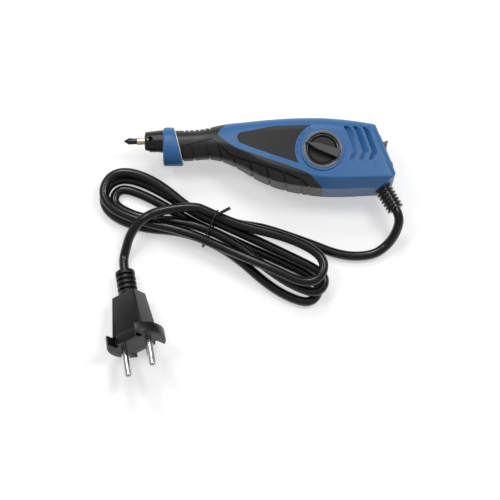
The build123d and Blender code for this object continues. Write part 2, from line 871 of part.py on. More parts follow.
with BuildPart() as stop_damper:
    add(axle(-rib_rear_reach, damper_thick - rib_rear_reach, damper_radius))
    add(axle(-rib_rear_reach, 0, rod_radius + run_gap), mode=Mode.SUBTRACT)


def biarc(start, start_way, end, end_way):
    """Joint and direction of the two arcs that lead from one place and way to another."""
    gap = end - start
    both = start_way + end_way
    square = 4 - both.dot(both)
    half = gap.dot(both)
    reach = (sqrt(half * half + square * gap.dot(gap)) - half) / square
    first = start + start_way * reach
    second = end - end_way * reach
    return (first + second) / 2, (second - first).normalized()


def wound(nodes, radius):
    """Tube of one radius on two arcs between each two nodes of place and way."""
    with BuildPart() as piece:
        with BuildLine() as route:
            for (start, start_way), (end, end_way) in zip(nodes, nodes[1:]):
                if start_way == end_way:
                    Line(start, end)
                    continue
                joint, joint_way = biarc(start, start_way, end, end_way)
                TangentArc(start, joint, tangent=start_way)
                TangentArc(joint, end, tangent=joint_way)
        with BuildSketch(Plane(origin=nodes[0][0], z_dir=nodes[0][1])):
            Circle(radius)
        sweep()
    return piece.part, list(route.edges())


def run_length(edges):
    """Length of a route's edges together."""
    return sum(edge.length for edge in edges)


# Return spring: a helix between the rod's collar and the slide
spring_start = rod_collar_rear + spring_wire / 2
spring_end = -slide_front_reach - spring_wire / 2
spring_nodes = []
for index in range(spring_turns * 4 + 1):
    angle = index * pi / 2
    rise = (spring_end - spring_start) / (spring_turns * 4)
    spot = Vector(
        spring_start + index * rise,
        nose_y + spring_radius * cos(angle),
        mid_height + spring_radius * sin(angle),
    )
    way = Vector(rise, -spring_radius * sin(angle) * pi / 2, spring_radius * cos(angle) * pi / 2)
    spring_nodes.append((spot, way.normalized()))
spring_tube, spring_route = wound(spring_nodes, spring_wire / 2)
with BuildPart() as return_spring:
    add(spring_tube)
spring_section = pi * (spring_wire / 2) ** 2
spring_share = return_spring.part.volume / (run_length(spring_route) * spring_section)
print("spring: volume to section times length", round(spring_share, 4))

# Magnet: open-ended core, its rivets, the bobbin and its winding
back_front = core_rear - core_back
leg_low = core_y - centre_leg / 2
leg_high = core_y + centre_leg / 2
rivet_x = core_rear - core_back / 2
rivet_places = [(rivet_x, y) for y in (core_low + side_leg, core_high - side_leg)]
with BuildPart() as core_laminations:
    add(block((core_front, core_low, core_floor), (core_rear, core_high, core_roof)))
    for low, high in ((core_low + side_leg, leg_low), (leg_high, core_high - side_leg)):
        add(block((core_front, low, core_floor), (back_front, high, core_roof)), mode=Mode.SUBTRACT)
    for place in rivet_places:
        add(pin(place, core_floor, core_roof, rivet_radius), mode=Mode.SUBTRACT)

with BuildPart() as core_rivets:
    for place in rivet_places:
        add(pin(place, core_floor, core_roof, rivet_radius))

bobbin_front = core_front + bobbin_front_gap
bobbin_rear = back_front - seat_gap
sleeve_low = leg_low - seat_gap - bobbin_wall
sleeve_high = leg_high + seat_gap + bobbin_wall
sleeve_floor = core_floor - seat_gap - bobbin_wall
sleeve_roof = core_roof + seat_gap + bobbin_wall
bobbin_low = core_low + side_leg + seat_gap
bobbin_high = core_high - side_leg - seat_gap
bobbin_floor = mid_height - bobbin_height / 2
bobbin_roof = mid_height + bobbin_height / 2
with BuildPart() as coil_bobbin:
    for front in (bobbin_front, bobbin_rear - bobbin_wall):
        add(block((front, bobbin_low, bobbin_floor), (front + bobbin_wall, bobbin_high, bobbin_roof)))
    add(block((bobbin_front, sleeve_low, sleeve_floor), (bobbin_rear, sleeve_high, sleeve_roof)))
    add(
        block(
            (bobbin_front, sleeve_low + bobbin_wall, sleeve_floor + bobbin_wall),
            (bobbin_rear, sleeve_high - bobbin_wall, sleeve_roof - bobbin_wall),
        ),
        mode=Mode.SUBTRACT,
    )

winding_front = bobbin_front + bobbin_wall
winding_rear = bobbin_rear - bobbin_wall
with BuildPart() as coil_winding:
    with BuildSketch(Plane(origin=(winding_front, core_y, mid_height), x_dir=(0, 1, 0), z_dir=(1, 0, 0))):
        RectangleRounded(
            bobbin_high - bobbin_low - winding_inset * 2,
            bobbin_height - winding_inset * 2,
            winding_round,
        )
        Rectangle(sleeve_high - sleeve_low, sleeve_roof - sleeve_floor, mode=Mode.SUBTRACT)
    extrude(amount=winding_rear - winding_front)

# Dial: bezel, knob with its bar, spindle with cam, clip and washer
bezel_top = top_height + bezel_rise
knob_low = pocket_seat + seat_gap
bar_top = dial_height + bar_rise
with BuildPart() as dial_bezel:
    add(pin(centre, pocket_seat, bezel_top, bezel_radius))
    add(pin(centre, pocket_seat, bezel_top, knob_radius + run_gap), mode=Mode.SUBTRACT)

with BuildPart() as bar:
    with BuildSketch(Plane.XY.offset(knob_low).rotated((0, 0, bar_angle))):
        Polygon(
            (-bar_tail, -bar_half_width),
            (bar_waist, -bar_waist_half),
            (bar_point, 0),
            (bar_waist, bar_waist_half),
            (-bar_tail, bar_half_width),
            align=None,
        )
    extrude(amount=bar_top - knob_low)
    fillet(bar.faces().sort_by(Axis.Z)[-1].edges(), bar_round)
    add(
        pin(centre, knob_low, bezel_top + bar_lift, bar_point * 2)
        - pin(centre, knob_low, bezel_top + bar_lift, knob_radius),
        mode=Mode.SUBTRACT,
    )

with BuildPart() as dial_knob:
    add(pin(centre, knob_low, top_height, knob_radius))
    dish_low = (*centre, top_height - knob_dish)
    dish_top = (*centre, top_height)
    add(rod(dish_low, dish_top, knob_radius - knob_dish * 2, knob_radius - knob_dish), mode=Mode.SUBTRACT)
    add(bar.part)
    add(pin(centre, knob_low, spindle_top, spindle_radius), mode=Mode.SUBTRACT)

shoulder_top = pocket_base - washer_thick - seat_gap
cam_x = cam_throw * cos(radians(cam_angle))
cam_y = cam_throw * sin(radians(cam_angle))
clip_top = slide_low - slide_gap
with BuildPart() as dial_spindle:
    add(pin(centre, shoulder_top, spindle_top, spindle_radius))
    add(pin(centre, slide_high + seat_gap, shoulder_top, spindle_shoulder_radius))
    add(pin((cam_x, cam_y), slide_low, slide_high + seat_gap, cam_radius))
    add(pin(centre, clip_top - clip_thick * 2, slide_low, spindle_foot_radius))

with BuildPart() as spindle_clip:
    add(pin(centre, clip_top - clip_thick, clip_top, clip_radius))
    add(pin(centre, clip_top - clip_thick, clip_top, spindle_foot_radius), mode=Mode.SUBTRACT)
    with Locations((clip_radius, 0, clip_top)):
        Box(clip_radius * 2, spindle_foot_radius, clip_thick * 3, mode=Mode.SUBTRACT)

with BuildPart() as dial_washer:
    add(pin(centre, pocket_base - washer_thick, pocket_base, spindle_shoulder_radius))
    add(pin(centre, 0, pocket_base, spindle_radius + run_gap), mode=Mode.SUBTRACT)

# Tension slide: a strap over the magnet, with a slot for the cam and a tab behind the spring
tab_rear = slide_tab_thick - slide_front_reach
arm_low = slide_arm_y - guide_half
arm_high = slide_arm_y + guide_half
with BuildPart() as tension_slide:
    add(block((-slide_tail, -slide_head_half, slide_low), (slide_tail, slide_head_half, slide_high)))
    add(block((-slide_front_reach, arm_low, slide_low), (slide_tail, arm_high, slide_high)))
    add(block((-slide_front_reach, arm_low, mid_height), (tab_rear, arm_high, slide_high)))
    add(axle(-slide_front_reach, tab_rear, slide_tab_radius))
    add(axle(-slide_front_reach, tab_rear, slide_hole_radius), mode=Mode.SUBTRACT)
    with Locations((cam_x, 0, slide_low)):
        Box(
            cam_radius * 2 + slot_gap,
            (cam_radius + cam_throw + slot_gap) * 2,
            slide_thick * 3,
            mode=Mode.SUBTRACT,
        )

# Switch: body with its window, rocker on two pins, and two blades
foot = (Align.CENTER, Align.CENTER, Align.MIN)
roof = (Align.CENTER, Align.CENTER, Align.MAX)
pivot = place_at(switch_plane, 0, 0, -rocker_pivot_depth)
pivot_place = (pivot.X, pivot.Y)
pin_reach = switch_window_width / 2 + rocker_pin_length
with BuildPart() as switch_body:
    with Locations(switch_plane.location):
        Box(switch_flange_length, switch_flange_width, switch_flange_thick, align=foot)
        Box(switch_body_length, switch_body_width, switch_body_depth, align=roof)
    with Locations(switch_plane.location * Pos(0, 0, switch_flange_thick)):
        window_cut = switch_window_depth + switch_flange_thick
        Box(switch_window_length, switch_window_width, window_cut, align=roof, mode=Mode.SUBTRACT)
    low = mid_height - switch_body_width / 2
    high = mid_height + switch_body_width / 2
    add(pin(pivot_place, low, high, rocker_pin_radius + seat_gap), mode=Mode.SUBTRACT)

tilt = radians(rocker_tilt)
rocker_way = rear_tangent * cos(tilt) + rear_normal * sin(tilt)
tip_angle = asin((rocker_tip_height + rocker_pivot_depth) / rocker_radius) - tilt
tip_x = rocker_radius * cos(tip_angle)
tip_y = rocker_radius * sin(tip_angle)
with BuildPart() as switch_rocker:
    with BuildSketch(Plane(origin=pivot, x_dir=rocker_way, z_dir=(0, 0, -1))):
        Circle(rocker_radius)
        with Locations((0, -rocker_skirt)):
            Rectangle(rocker_radius * 3, rocker_radius, align=(Align.CENTER, Align.MAX), mode=Mode.SUBTRACT)
        Circle(rocker_belly)
        Polygon(
            (-tip_x, tip_y),
            (0, rocker_dip),
            (tip_x, tip_y),
            (tip_x, rocker_radius * 2),
            (-tip_x, rocker_radius * 2),
            align=None,
            mode=Mode.SUBTRACT,
        )
    extrude(amount=rocker_width / 2, both=True)
    add(pin(pivot_place, mid_height - pin_reach, mid_height + pin_reach, rocker_pin_radius))

with BuildPart() as switch_terminals:
    for side in (-terminal_pitch / 2, terminal_pitch / 2):
        with Locations(switch_plane.location * Pos(side, 0, -switch_body_depth)):
            Box(terminal_thick, terminal_width, terminal_length, align=roof)

# Strain relief, the cord's end inside, its clamp and the screws
rib_pitch = relief_length / (relief_ribs - 1 + relief_rib_share)
with BuildPart() as strain_relief:
    add(along_relief(0, relief_length, relief_core_radius))
    for index in range(relief_ribs):
        start = index * rib_pitch
        rib_radius = relief_base_radius + (relief_tip_radius - relief_base_radius) * start / relief_length
        add(along_relief(start, start + rib_pitch * relief_rib_share, rib_radius))
    add(along_relief(-shell_wall, 0, relief_neck_radius))
    add(along_relief(-shell_wall - relief_flange_thick, -shell_wall, relief_flange_radius))
    flange_low = -shell_wall - relief_flange_thick
    add(along_relief(flange_low, relief_length, cord_radius), mode=Mode.SUBTRACT)

with BuildPart() as cord_sheath_end:
    add(along_relief(-sheath_inside, relief_length, cord_radius))

clamp_span = clamp_half_span + clamp_post_radius
clamp_on = relief_plane.location * Pos(0, cord_radius, clamp_middle)
with BuildPart() as cord_clamp:
    with Locations(clamp_on):
        Box(clamp_span * 2, clamp_thick, clamp_width, align=(Align.CENTER, Align.MIN, Align.CENTER))
    add(clamp_bars(cord_radius, cord_radius + clamp_thick, clamp_screw_radius), mode=Mode.SUBTRACT)

screw_low = cord_radius + clamp_thick - clamp_screw_length
head_low = cord_radius + clamp_thick
with BuildPart() as clamp_screws:
    add(clamp_bars(screw_low, head_low, clamp_screw_radius))
    add(clamp_bars(head_low, head_low + clamp_head_height, clamp_head_radius))

head_bottom = screw_seat_height - screw_head_height
with BuildPart() as housing_screws:
    for place in screw_places:
        add(pin(place, screw_seat_height, screw_tip, screw_radius))
        add(pin(place, head_bottom, screw_seat_height, screw_head_radius))
        for turn in (0, 90):
            with Locations(Pos(*place, head_bottom) * Rot(0, 0, turn)):
                Box(screw_cross_length, screw_cross_width, screw_head_height, mode=Mode.SUBTRACT)


def bend_radii(points):
    """Radius of each bend: a share of the shorter run over the tangent of half the turn."""
    radii = []
    for before, middle, after in zip(points, points[1:], points[2:]):
        first = middle - before
        second = after - middle
        half_turn = radians(first.get_angle(second)) / 2
        radii.append(bend_share * min(first.length, second.length) / tan(half_turn))
    return radii


def tube(points, radius):
    """Tube along straight runs joined by bends, with the route's length and its radii."""
    points = [Vector(*point) for point in points]
    radii = bend_radii(points)
    with BuildPart() as piece:
        with BuildLine() as route:
            FilletPolyline(*points, radius=radii)
        with BuildSketch(Plane(origin=points[0], z_dir=points[1] - points[0])):
            Circle(radius)
        sweep()
    return piece.part, run_length(route.edges()), radii


# Wires inside: sheath to switch, switch to coil, and sheath to coil
wire_starts = []
wire_outs = []
for side in (wire_side, -wire_side):
    wire_starts.append(place_at(relief_plane, -wire_side, side, -sheath_inside))
    wire_outs.append(place_at(relief_plane, -wire_side, side, -sheath_inside - wire_lead))
blade_depth = -switch_body_depth - terminal_length
blade_ends = []
for side in (-terminal_pitch / 2, terminal_pitch / 2):
    blade_ends.append(place_at(switch_plane, side, 0, blade_depth))
coil_spots = [Vector(bobbin_rear, y, wire_height) for y in wire_coil_ys]
coil_outs = [spot + Vector(wire_lead * 2, 0, 0) for spot in coil_spots]
to_switch = (wire_starts[0], wire_outs[0], *switch_wire_bends, blade_ends[0])
blade_out = blade_ends[1] - rear_normal * wire_lead
to_coil = (blade_ends[1], blade_out, *coil_wire_bends, coil_outs[0], coil_spots[0])
back_again = (wire_starts[1], wire_outs[1], *back_wire_bends, coil_outs[1], coil_spots[1])
wire_tubes = [tube(route, wire_radius)[0] for route in (to_switch, to_coil, back_again)]
with BuildPart() as lead_wires:
    add(wire_tubes)

# Hank: turns round a waist, spiralling in on the ground and out again one layer up
hank_heading = (hank_left_angle - 180 + hank_right_angle) / 2
hank_way = Vector(cos(radians(hank_heading)), sin(radians(hank_heading)), 0)
hank_side = Vector(-sin(radians(hank_heading)), cos(radians(hank_heading)), 0)
hank_middle = Vector(hank_x, hank_y, 0)
up = Vector(0, 0, 1)
inner_turns = hank_turns / 2
top_layer = cord_radius + hank_layer


def hank_spot(along, across, height):
    """World point of a place in the hank, given along its axis and across it."""
    return hank_middle + hank_way * along + hank_side * across + up * height


def hank_node(quarter):
    """Place and way of the hank's route after a number of eighths of a turn."""
    turns = quarter / 8
    drawn = hank_step * (turns if turns <= inner_turns else hank_turns - turns)
    if turns < inner_turns:
        height = cord_radius
    elif turns > inner_turns:
        height = top_layer
    else:
        height = (cord_radius + top_layer) / 2
    phase = quarter % 8
    if phase in (0, 4):
        heading = -1 if phase == 0 else 1
        across = -heading * (hank_waist_half - drawn) - hank_waist_shift
        climb = up * hank_climb_slope if turns == inner_turns else up * 0
        return hank_spot(0, across, height + waist_lift), (hank_way * heading + climb).normalized()
    left = phase < 4
    angle = radians(hank_left_angle if left else hank_right_angle)
    axis = Vector(cos(angle), sin(angle), 0)
    swing = Vector(-sin(angle), cos(angle), 0)
    length = hank_left_length if left else hank_right_length
    half = hank_left_half if left else hank_right_half
    base = hank_middle + up * height
    if phase in (2, 6):
        return base + axis * (length - drawn), swing
    shoulder = base + axis * (length - half * hank_bulge_share)
    if phase in (1, 5):
        return shoulder - swing * (half - drawn), axis
    return shoulder + swing * (half - drawn), -axis


entry_turn = radians(hank_entry_turn)
start_way = (hank_way * -cos(entry_turn) - hank_side * sin(entry_turn)).normalized()
entry = hank_spot(hank_entry_along, hank_entry_across, cord_radius)
top_waist = hank_spot(0, hank_exit_across, hank_exit_height)
hank_end = top_waist - hank_way * cord_diameter
hank_nodes = [(entry, start_way), (entry + start_way * cord_diameter, start_way)]
hank_nodes += [hank_node(quarter) for quarter in range(hank_turns * 8)]
hank_nodes += [(top_waist, -hank_way), (hank_end, -hank_way)]
hank_tube, hank_route = wound(hank_nodes, cord_radius)
hank_length = run_length(hank_route)
with BuildPart() as cord_hank:
    add(hank_tube)

hank_spots = []
travelled = 0
for edge in hank_route:
    count = max(2, int(edge.length / hank_sample))
    for index in range(count):
        hank_spots.append((travelled + edge.length * index / count, edge.position_at(index / count)))
    travelled += edge.length
least = min(
    (later[1] - earlier[1]).length
    for number, earlier in enumerate(hank_spots)
    for later in hank_spots[number + 1:]
    if later[0] - earlier[0] > cord_diameter * 3
)
print("hank: length", round(hank_length), "least gap to itself", round(least - cord_diameter, 2))

# Plug: its plane starts at the cord's entry, with z towards the pins and x from pin to pin
plug_tilt = atan2(plug_radius - plug_relief_radius, plug_length - plug_flange_thick)
plug_level = Vector(cos(radians(plug_heading)), sin(radians(plug_heading)), 0)
plug_way = plug_level * cos(plug_tilt) + up * sin(plug_tilt)
plug_beside = Vector(-plug_level.Y, plug_level.X, 0)
plug_up = plug_way.cross(plug_beside)
plug_turn = radians(plug_roll)
plug_entry = Vector(plug_x, plug_y, plug_relief_radius * cos(plug_tilt))
plug_plane = Plane(
    origin=plug_entry,
    x_dir=plug_beside * cos(plug_turn) + plug_up * sin(plug_turn),
    z_dir=plug_way,
)

lead_start = place_at(relief_plane, 0, 0, relief_length)
lead_points = [lead_start, lead_start + relief_axis * lead_run]
lead_points += [*lead_bends, entry - start_way * lead_run * 2, entry]
tail_points = [hank_end, hank_end - hank_way * tail_run]
tail_points += [*tail_bends, plug_entry - plug_way * tail_run, plug_entry]
lead_tube, lead_length, lead_radii = tube(lead_points, cord_radius)
tail_tube, tail_length, tail_radii = tube(tail_points, cord_radius)
with BuildPart() as cord_lead:
    add(lead_tube)
with BuildPart() as cord_tail:
    add(tail_tube)

section = pi * cord_radius**2
for label, piece, length in (
    ("lead", cord_lead, lead_length),
    ("hank", cord_hank, hank_length),
    ("tail", cord_tail, tail_length),
):
    share = piece.part.volume / (section * length)
    print(label, "length", round(length), "volume to section times length", round(share, 4))
print("lead radii", [round(value, 1) for value in lead_radii])
print("tail radii", [round(value, 1) for value in tail_radii])
print("cord length", round(lead_length + hank_length + tail_length))

# Tie: a wire ring round the strands at the waist, with a twisted tail
tie_plane = Plane(origin=hank_middle, x_dir=hank_side, z_dir=hank_way)
outer_strand = hank_waist_half - hank_waist_shift
ring_corners = (
    (-outer_strand, cord_radius + waist_lift),
    (outer_strand, cord_radius + waist_lift),
    (hank_exit_across, hank_exit_height),
    (-outer_strand, top_layer + waist_lift),
)
tie_reach = cord_radius + tie_gap + tie_radius
with BuildSketch(tie_plane) as tie_outline:
    with BuildLine():
        Polyline(*ring_corners, close=True)
    make_face()
    offset(amount=tie_reach)
tie_loop = tie_outline.sketch.faces()[0].outer_wire()
with BuildPart() as cord_tie:
    with BuildLine():
        add(tie_loop)
    with BuildSketch(Plane(origin=tie_loop @ 0, z_dir=tie_loop % 0)):
        Circle(tie_radius)
    sweep()
    for side in (-tie_radius, tie_radius):
        foot_spot = hank_spot(side, hank_exit_across, hank_exit_height + tie_reach)
        tip_height = hank_exit_height + tie_reach + tie_tail / 2
        tip_spot = hank_spot(side * 3, hank_exit_across + tie_tail, tip_height)
        add(rod(foot_spot, tip_spot, tie_radius))


def across_plug(width, thick, height, rounding):
    """Rounded outline across the plug at a height."""
    with BuildSketch(plug_plane.offset(height)) as outline:
        RectangleRounded(width, thick, rounding)
    return outline.sketch


flange_back = plug_length - plug_flange_thick
front_outline = across_plug(plug_front_half * 2, plug_front_thick * 2, flange_back, plug_edge_round)
shoulder_outline = across_plug(
    plug_shoulder_half * 2, plug_shoulder_thick * 2, plug_relief_length, plug_edge_round
)
bridge_back = plug_length - pin_embed
slot_pitch = plug_relief_length / (plug_relief_slots + 1)


def along_plug(start, end, radius, side=0):
    """Round bar along the plug, from one height to another."""
    return rod(place_at(plug_plane, side, 0, start), place_at(plug_plane, side, 0, end), radius)


with BuildPart() as bridge_block:
    with BuildSketch(plug_plane.offset(bridge_back)):
        RectangleRounded(bridge_half * 2, bridge_half_thick * 2, plug_edge_round)
    extrude(amount=pin_embed)

with BuildPart() as plug_bridge:
    add(bridge_block.part)
    for side in (-pin_pitch / 2, pin_pitch / 2):
        add(along_plug(bridge_back, plug_length, pin_root_radius, side), mode=Mode.SUBTRACT)

with BuildPart() as plug_body:
    loft([shoulder_outline, front_outline])
    add(along_plug(0, plug_relief_length + plug_edge_round, plug_relief_radius))
    for index in range(plug_relief_slots):
        slot_start = slot_pitch * (index + 1) - plug_slot_width / 2
        slot_end = slot_start + plug_slot_width
        ring = along_plug(slot_start, slot_end, plug_relief_radius * 2)
        core = along_plug(slot_start, slot_end, plug_relief_radius - plug_slot_depth)
        add(ring - core, mode=Mode.SUBTRACT)
    add(along_plug(flange_back, plug_length, plug_radius))
    for turn in (0, 180):
        notch = Pos(0, 0, flange_back) * Rot(0, 0, turn) * Pos(0, plug_notch_keep, 0)
        with Locations(plug_plane.location * notch):
            Box(
                plug_notch_half * 2,
                plug_radius,
                plug_flange_thick,
                align=(Align.CENTER, Align.MIN, Align.MIN),
                mode=Mode.SUBTRACT,
            )
    crown_size = (plug_crown_half * 2, plug_crown_rise * 2)
    crown_outline = across_plug(*crown_size, flange_back, plug_edge_round)
    extrude(crown_outline, amount=plug_flange_thick)
    add(bridge_block.part, mode=Mode.SUBTRACT)

with BuildPart() as plug_pins:
    for side in (-pin_pitch / 2, pin_pitch / 2):
        add(along_plug(bridge_back, plug_length, pin_root_radius, side))
        add(along_plug(plug_length, plug_length + pin_length, pin_radius, side))
    tips = plug_pins.edges().filter_by(GeomType.CIRCLE).sort_by(Axis(plug_entry, plug_way))[-2:]
    fillet(tips, pin_radius * pin_round_share)

for piece, label in (
    (collar_ring, "collar_ring"),
    (collar_gasket, "collar_gasket"),
    (nose_cone, "nose_cone"),
    (needle, "needle"),
    (needle_holder, "needle_holder"),
    (grub_screw, "grub_screw"),
    (plunger_rod, "plunger_rod"),
    (armature, "armature"),
    (armature_nut, "armature_nut"),
    (front_bush, "front_bush"),
    (rear_bush, "rear_bush"),
    (stop_damper, "stop_damper"),
    (return_spring, "return_spring"),
    (core_laminations, "core_laminations"),
    (core_rivets, "core_rivets"),
    (coil_bobbin, "coil_bobbin"),
    (coil_winding, "coil_winding"),
    (dial_bezel, "dial_bezel"),
    (dial_knob, "dial_knob"),
    (dial_spindle, "dial_spindle"),
    (spindle_clip, "spindle_clip"),
    (dial_washer, "dial_washer"),
    (tension_slide, "tension_slide"),
    (switch_body, "switch_body"),
    (switch_rocker, "switch_rocker"),
    (switch_terminals, "switch_terminals"),
    (strain_relief, "strain_relief"),
    (cord_sheath_end, "cord_sheath_end"),
    (cord_clamp, "cord_clamp"),
    (clamp_screws, "clamp_screws"),
    (housing_screws, "housing_screws"),
    (lead_wires, "lead_wires"),
    (cord_lead, "cord_lead"),
    (cord_hank, "cord_hank"),
    (cord_tail, "cord_tail"),
    (cord_tie, "cord_tie"),
    (plug_body, "plug_body"),
    (plug_bridge, "plug_bridge"),
    (plug_pins, "plug_pins"),
):
    save(piece, label)
    if not piece.part.is_valid:
        print("not valid:", label)
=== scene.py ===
import math

import bmesh
import bpy
from mathutils import Matrix, Vector


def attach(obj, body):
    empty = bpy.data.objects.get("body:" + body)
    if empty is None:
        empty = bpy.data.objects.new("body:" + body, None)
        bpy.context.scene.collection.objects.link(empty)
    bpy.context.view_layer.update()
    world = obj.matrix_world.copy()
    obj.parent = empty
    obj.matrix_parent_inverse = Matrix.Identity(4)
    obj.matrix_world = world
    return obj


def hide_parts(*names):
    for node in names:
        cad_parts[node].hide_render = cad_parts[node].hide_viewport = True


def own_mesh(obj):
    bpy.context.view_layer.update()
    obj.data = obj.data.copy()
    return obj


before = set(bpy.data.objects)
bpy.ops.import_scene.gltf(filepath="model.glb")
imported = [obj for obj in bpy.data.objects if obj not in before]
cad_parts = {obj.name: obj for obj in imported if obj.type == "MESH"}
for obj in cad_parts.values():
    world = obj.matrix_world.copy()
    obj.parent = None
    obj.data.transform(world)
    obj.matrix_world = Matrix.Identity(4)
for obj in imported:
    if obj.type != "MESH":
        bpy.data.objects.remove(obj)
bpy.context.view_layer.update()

# Electric engraving pen. Metres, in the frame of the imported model: +X to the rear end,
# +Y to the spine, +Z up from the surface that the pen lies on.
MM = 0.001
HOME = "housing"
UP = Vector((0, 0, 1))

# Places that the pen's pieces share
ROD_Y = 10.4 * MM
MID_Z = 19.0 * MM
TOP_Z = 38.15 * MM
ROD_CENTRE = (0, ROD_Y, MID_Z)
RELIEF_ANGLE = math.radians(-60.0)
RELIEF_SEAT = Vector((38.5927, -20.4429, 19.0)) * MM
RELIEF_WAY = Vector((math.cos(RELIEF_ANGLE), math.sin(RELIEF_ANGLE), 0))
RELIEF_LENGTH = 15.6 * MM


# Finishes

def new_finish(name, colour, roughness, metallic=0.0):
    """Material with its shader's own sockets set, and its node tree and shader."""
    finish = bpy.data.materials.new(name)
    finish.use_nodes = True
    shader = finish.node_tree.nodes["Principled BSDF"]
    shader.inputs["Base Color"].default_value = (*colour, 1)
    shader.inputs["Roughness"].default_value = roughness
    shader.inputs["Metallic"].default_value = metallic
    return finish, finish.node_tree, shader


def place_pattern(tree, stretch=(1, 1, 1), centre=(0, 0, 0)):
    """Object coordinates, moved to a centre and stretched."""
    coordinates = tree.nodes.new("ShaderNodeTexCoord")
    mapping = tree.nodes.new("ShaderNodeMapping")
    mapping.vector_type = "TEXTURE"
    mapping.inputs["Location"].default_value = centre
    mapping.inputs["Scale"].default_value = stretch
    tree.links.new(coordinates.outputs["Object"], mapping.inputs["Vector"])
    return mapping.outputs["Vector"]


def noise(tree, pattern, size, detail=2.0):
    """Noise whose spots are about the given size."""
    texture = tree.nodes.new("ShaderNodeTexNoise")
    texture.inputs["Scale"].default_value = 1 / size
    texture.inputs["Detail"].default_value = detail
    tree.links.new(pattern, texture.inputs["Vector"])
    return texture.outputs["Fac"]


def shaded(tree, factor, dark, light):
    """Colour that runs from dark to light as a factor runs from 0 to 1."""
    mix = tree.nodes.new("ShaderNodeMix")
    mix.data_type = "RGBA"
    mix.inputs["A"].default_value = (*dark, 1)
    mix.inputs["B"].default_value = (*light, 1)
    tree.links.new(factor, mix.inputs["Factor"])
    return mix.outputs["Result"]


def ranged(tree, factor, low, high):
    """Factor carried from 0 and 1 to a low and a high value."""
    spread = tree.nodes.new("ShaderNodeMapRange")
    spread.inputs["To Min"].default_value = low
    spread.inputs["To Max"].default_value = high
    tree.links.new(factor, spread.inputs["Value"])
    return spread.outputs["Result"]


def larger(tree, first, second):
    """The larger of two factors."""
    choice = tree.nodes.new("ShaderNodeMath")
    choice.operation = "MAXIMUM"
    tree.links.new(first, choice.inputs[0])
    tree.links.new(second, choice.inputs[1])
    return choice.outputs[0]


def bumped(tree, shader, height, depth):
    """Bump of a depth in metres on the shader's normal, left out where the depth is zero."""
    if not depth:
        return
    bump = tree.nodes.new("ShaderNodeBump")
    bump.inputs["Strength"].default_value = 1.0
    bump.inputs["Distance"].default_value = depth
    tree.links.new(height, bump.inputs["Height"])
    tree.links.new(bump.outputs["Normal"], shader.inputs["Normal"])


PATCH_DETAIL = 3.0
TURNED_DARK_SHARE = 0.86
TURNED_SMOOTH_SHARE = 0.7
TURNED_ROUGH_SHARE = 1.4

# Height in which bands of a scale of 1 run through one radian of their wave
BAND_RADIAN = 0.05
BAND_WOBBLE = 0.3


def moulded(name, colour, roughness, grain, depth, mottle=0.06, patch=9 * MM, gloss=0.5, wear=0.07):
    """Moulded plastic or rubber: a fine grain, faint patches and uneven gloss."""
    finish, tree, shader = new_finish(name, colour, roughness)
    shader.inputs["Specular IOR Level"].default_value = gloss
    pattern = place_pattern(tree)
    patches = noise(tree, pattern, patch, PATCH_DETAIL)
    dark = [part * (1 - mottle) for part in colour]
    light = [part * (1 + mottle) for part in colour]
    tree.links.new(shaded(tree, patches, dark, light), shader.inputs["Base Color"])
    grains = noise(tree, pattern, grain)
    tree.links.new(ranged(tree, grains, roughness - wear, roughness + wear), shader.inputs["Roughness"])
    bumped(tree, shader, grains, depth)
    return finish


def turned(name, colour, roughness, pitch, depth, stretch=(1, 40, 40), centre=ROD_CENTRE):
    """Metal with fine marks from stretched noise, round the rod's axis unless told otherwise."""
    finish, tree, shader = new_finish(name, colour, roughness, metallic=1.0)
    marks = noise(tree, place_pattern(tree, stretch, centre), pitch, PATCH_DETAIL)
    dark = [part * TURNED_DARK_SHARE for part in colour]
    tree.links.new(shaded(tree, marks, dark, colour), shader.inputs["Base Color"])
    spread = ranged(tree, marks, roughness * TURNED_SMOOTH_SHARE, roughness * TURNED_ROUGH_SHARE)
    tree.links.new(spread, shader.inputs["Roughness"])
    bumped(tree, shader, marks, depth)
    return finish


def layered(name, dark, light, roughness, radian, depth):
    """Metal in a stack of sheets or rows of wire: bands along Z, a radian of their wave in a height."""
    finish, tree, shader = new_finish(name, light, roughness, metallic=1.0)
    bands = tree.nodes.new("ShaderNodeTexWave")
    bands.bands_direction = "Z"
    bands.inputs["Scale"].default_value = BAND_RADIAN / radian
    bands.inputs["Distortion"].default_value = BAND_WOBBLE
    tree.links.new(place_pattern(tree), bands.inputs["Vector"])
    tree.links.new(shaded(tree, bands.outputs["Fac"], dark, light), shader.inputs["Base Color"])
    bumped(tree, shader, bands.outputs["Fac"], depth)
    return finish


# Housing, grip and label
SHELL_GRAIN = 0.45 * MM
RUBBER_GREY = (0.014, 0.014, 0.016)
blue_plastic = moulded(
    "blue_plastic", (0.029, 0.128, 0.325), roughness=0.4, grain=SHELL_GRAIN, depth=0.045 * MM, gloss=0.4
)
number_blue = moulded(
    "number_blue", (0.02, 0.075, 0.21), roughness=0.4, grain=SHELL_GRAIN, depth=0.02 * MM
)
grip_rubber = moulded(
    "grip_rubber", RUBBER_GREY, roughness=0.4, grain=0.35 * MM, depth=0.03 * MM,
    mottle=0.12, patch=6 * MM, gloss=0.45,
)
label_plastic = moulded(
    "label_plastic", RUBBER_GREY, roughness=0.45, grain=0.5 * MM, depth=0.05 * MM,
    mottle=0.4, patch=0.8 * MM, gloss=0.3,
)

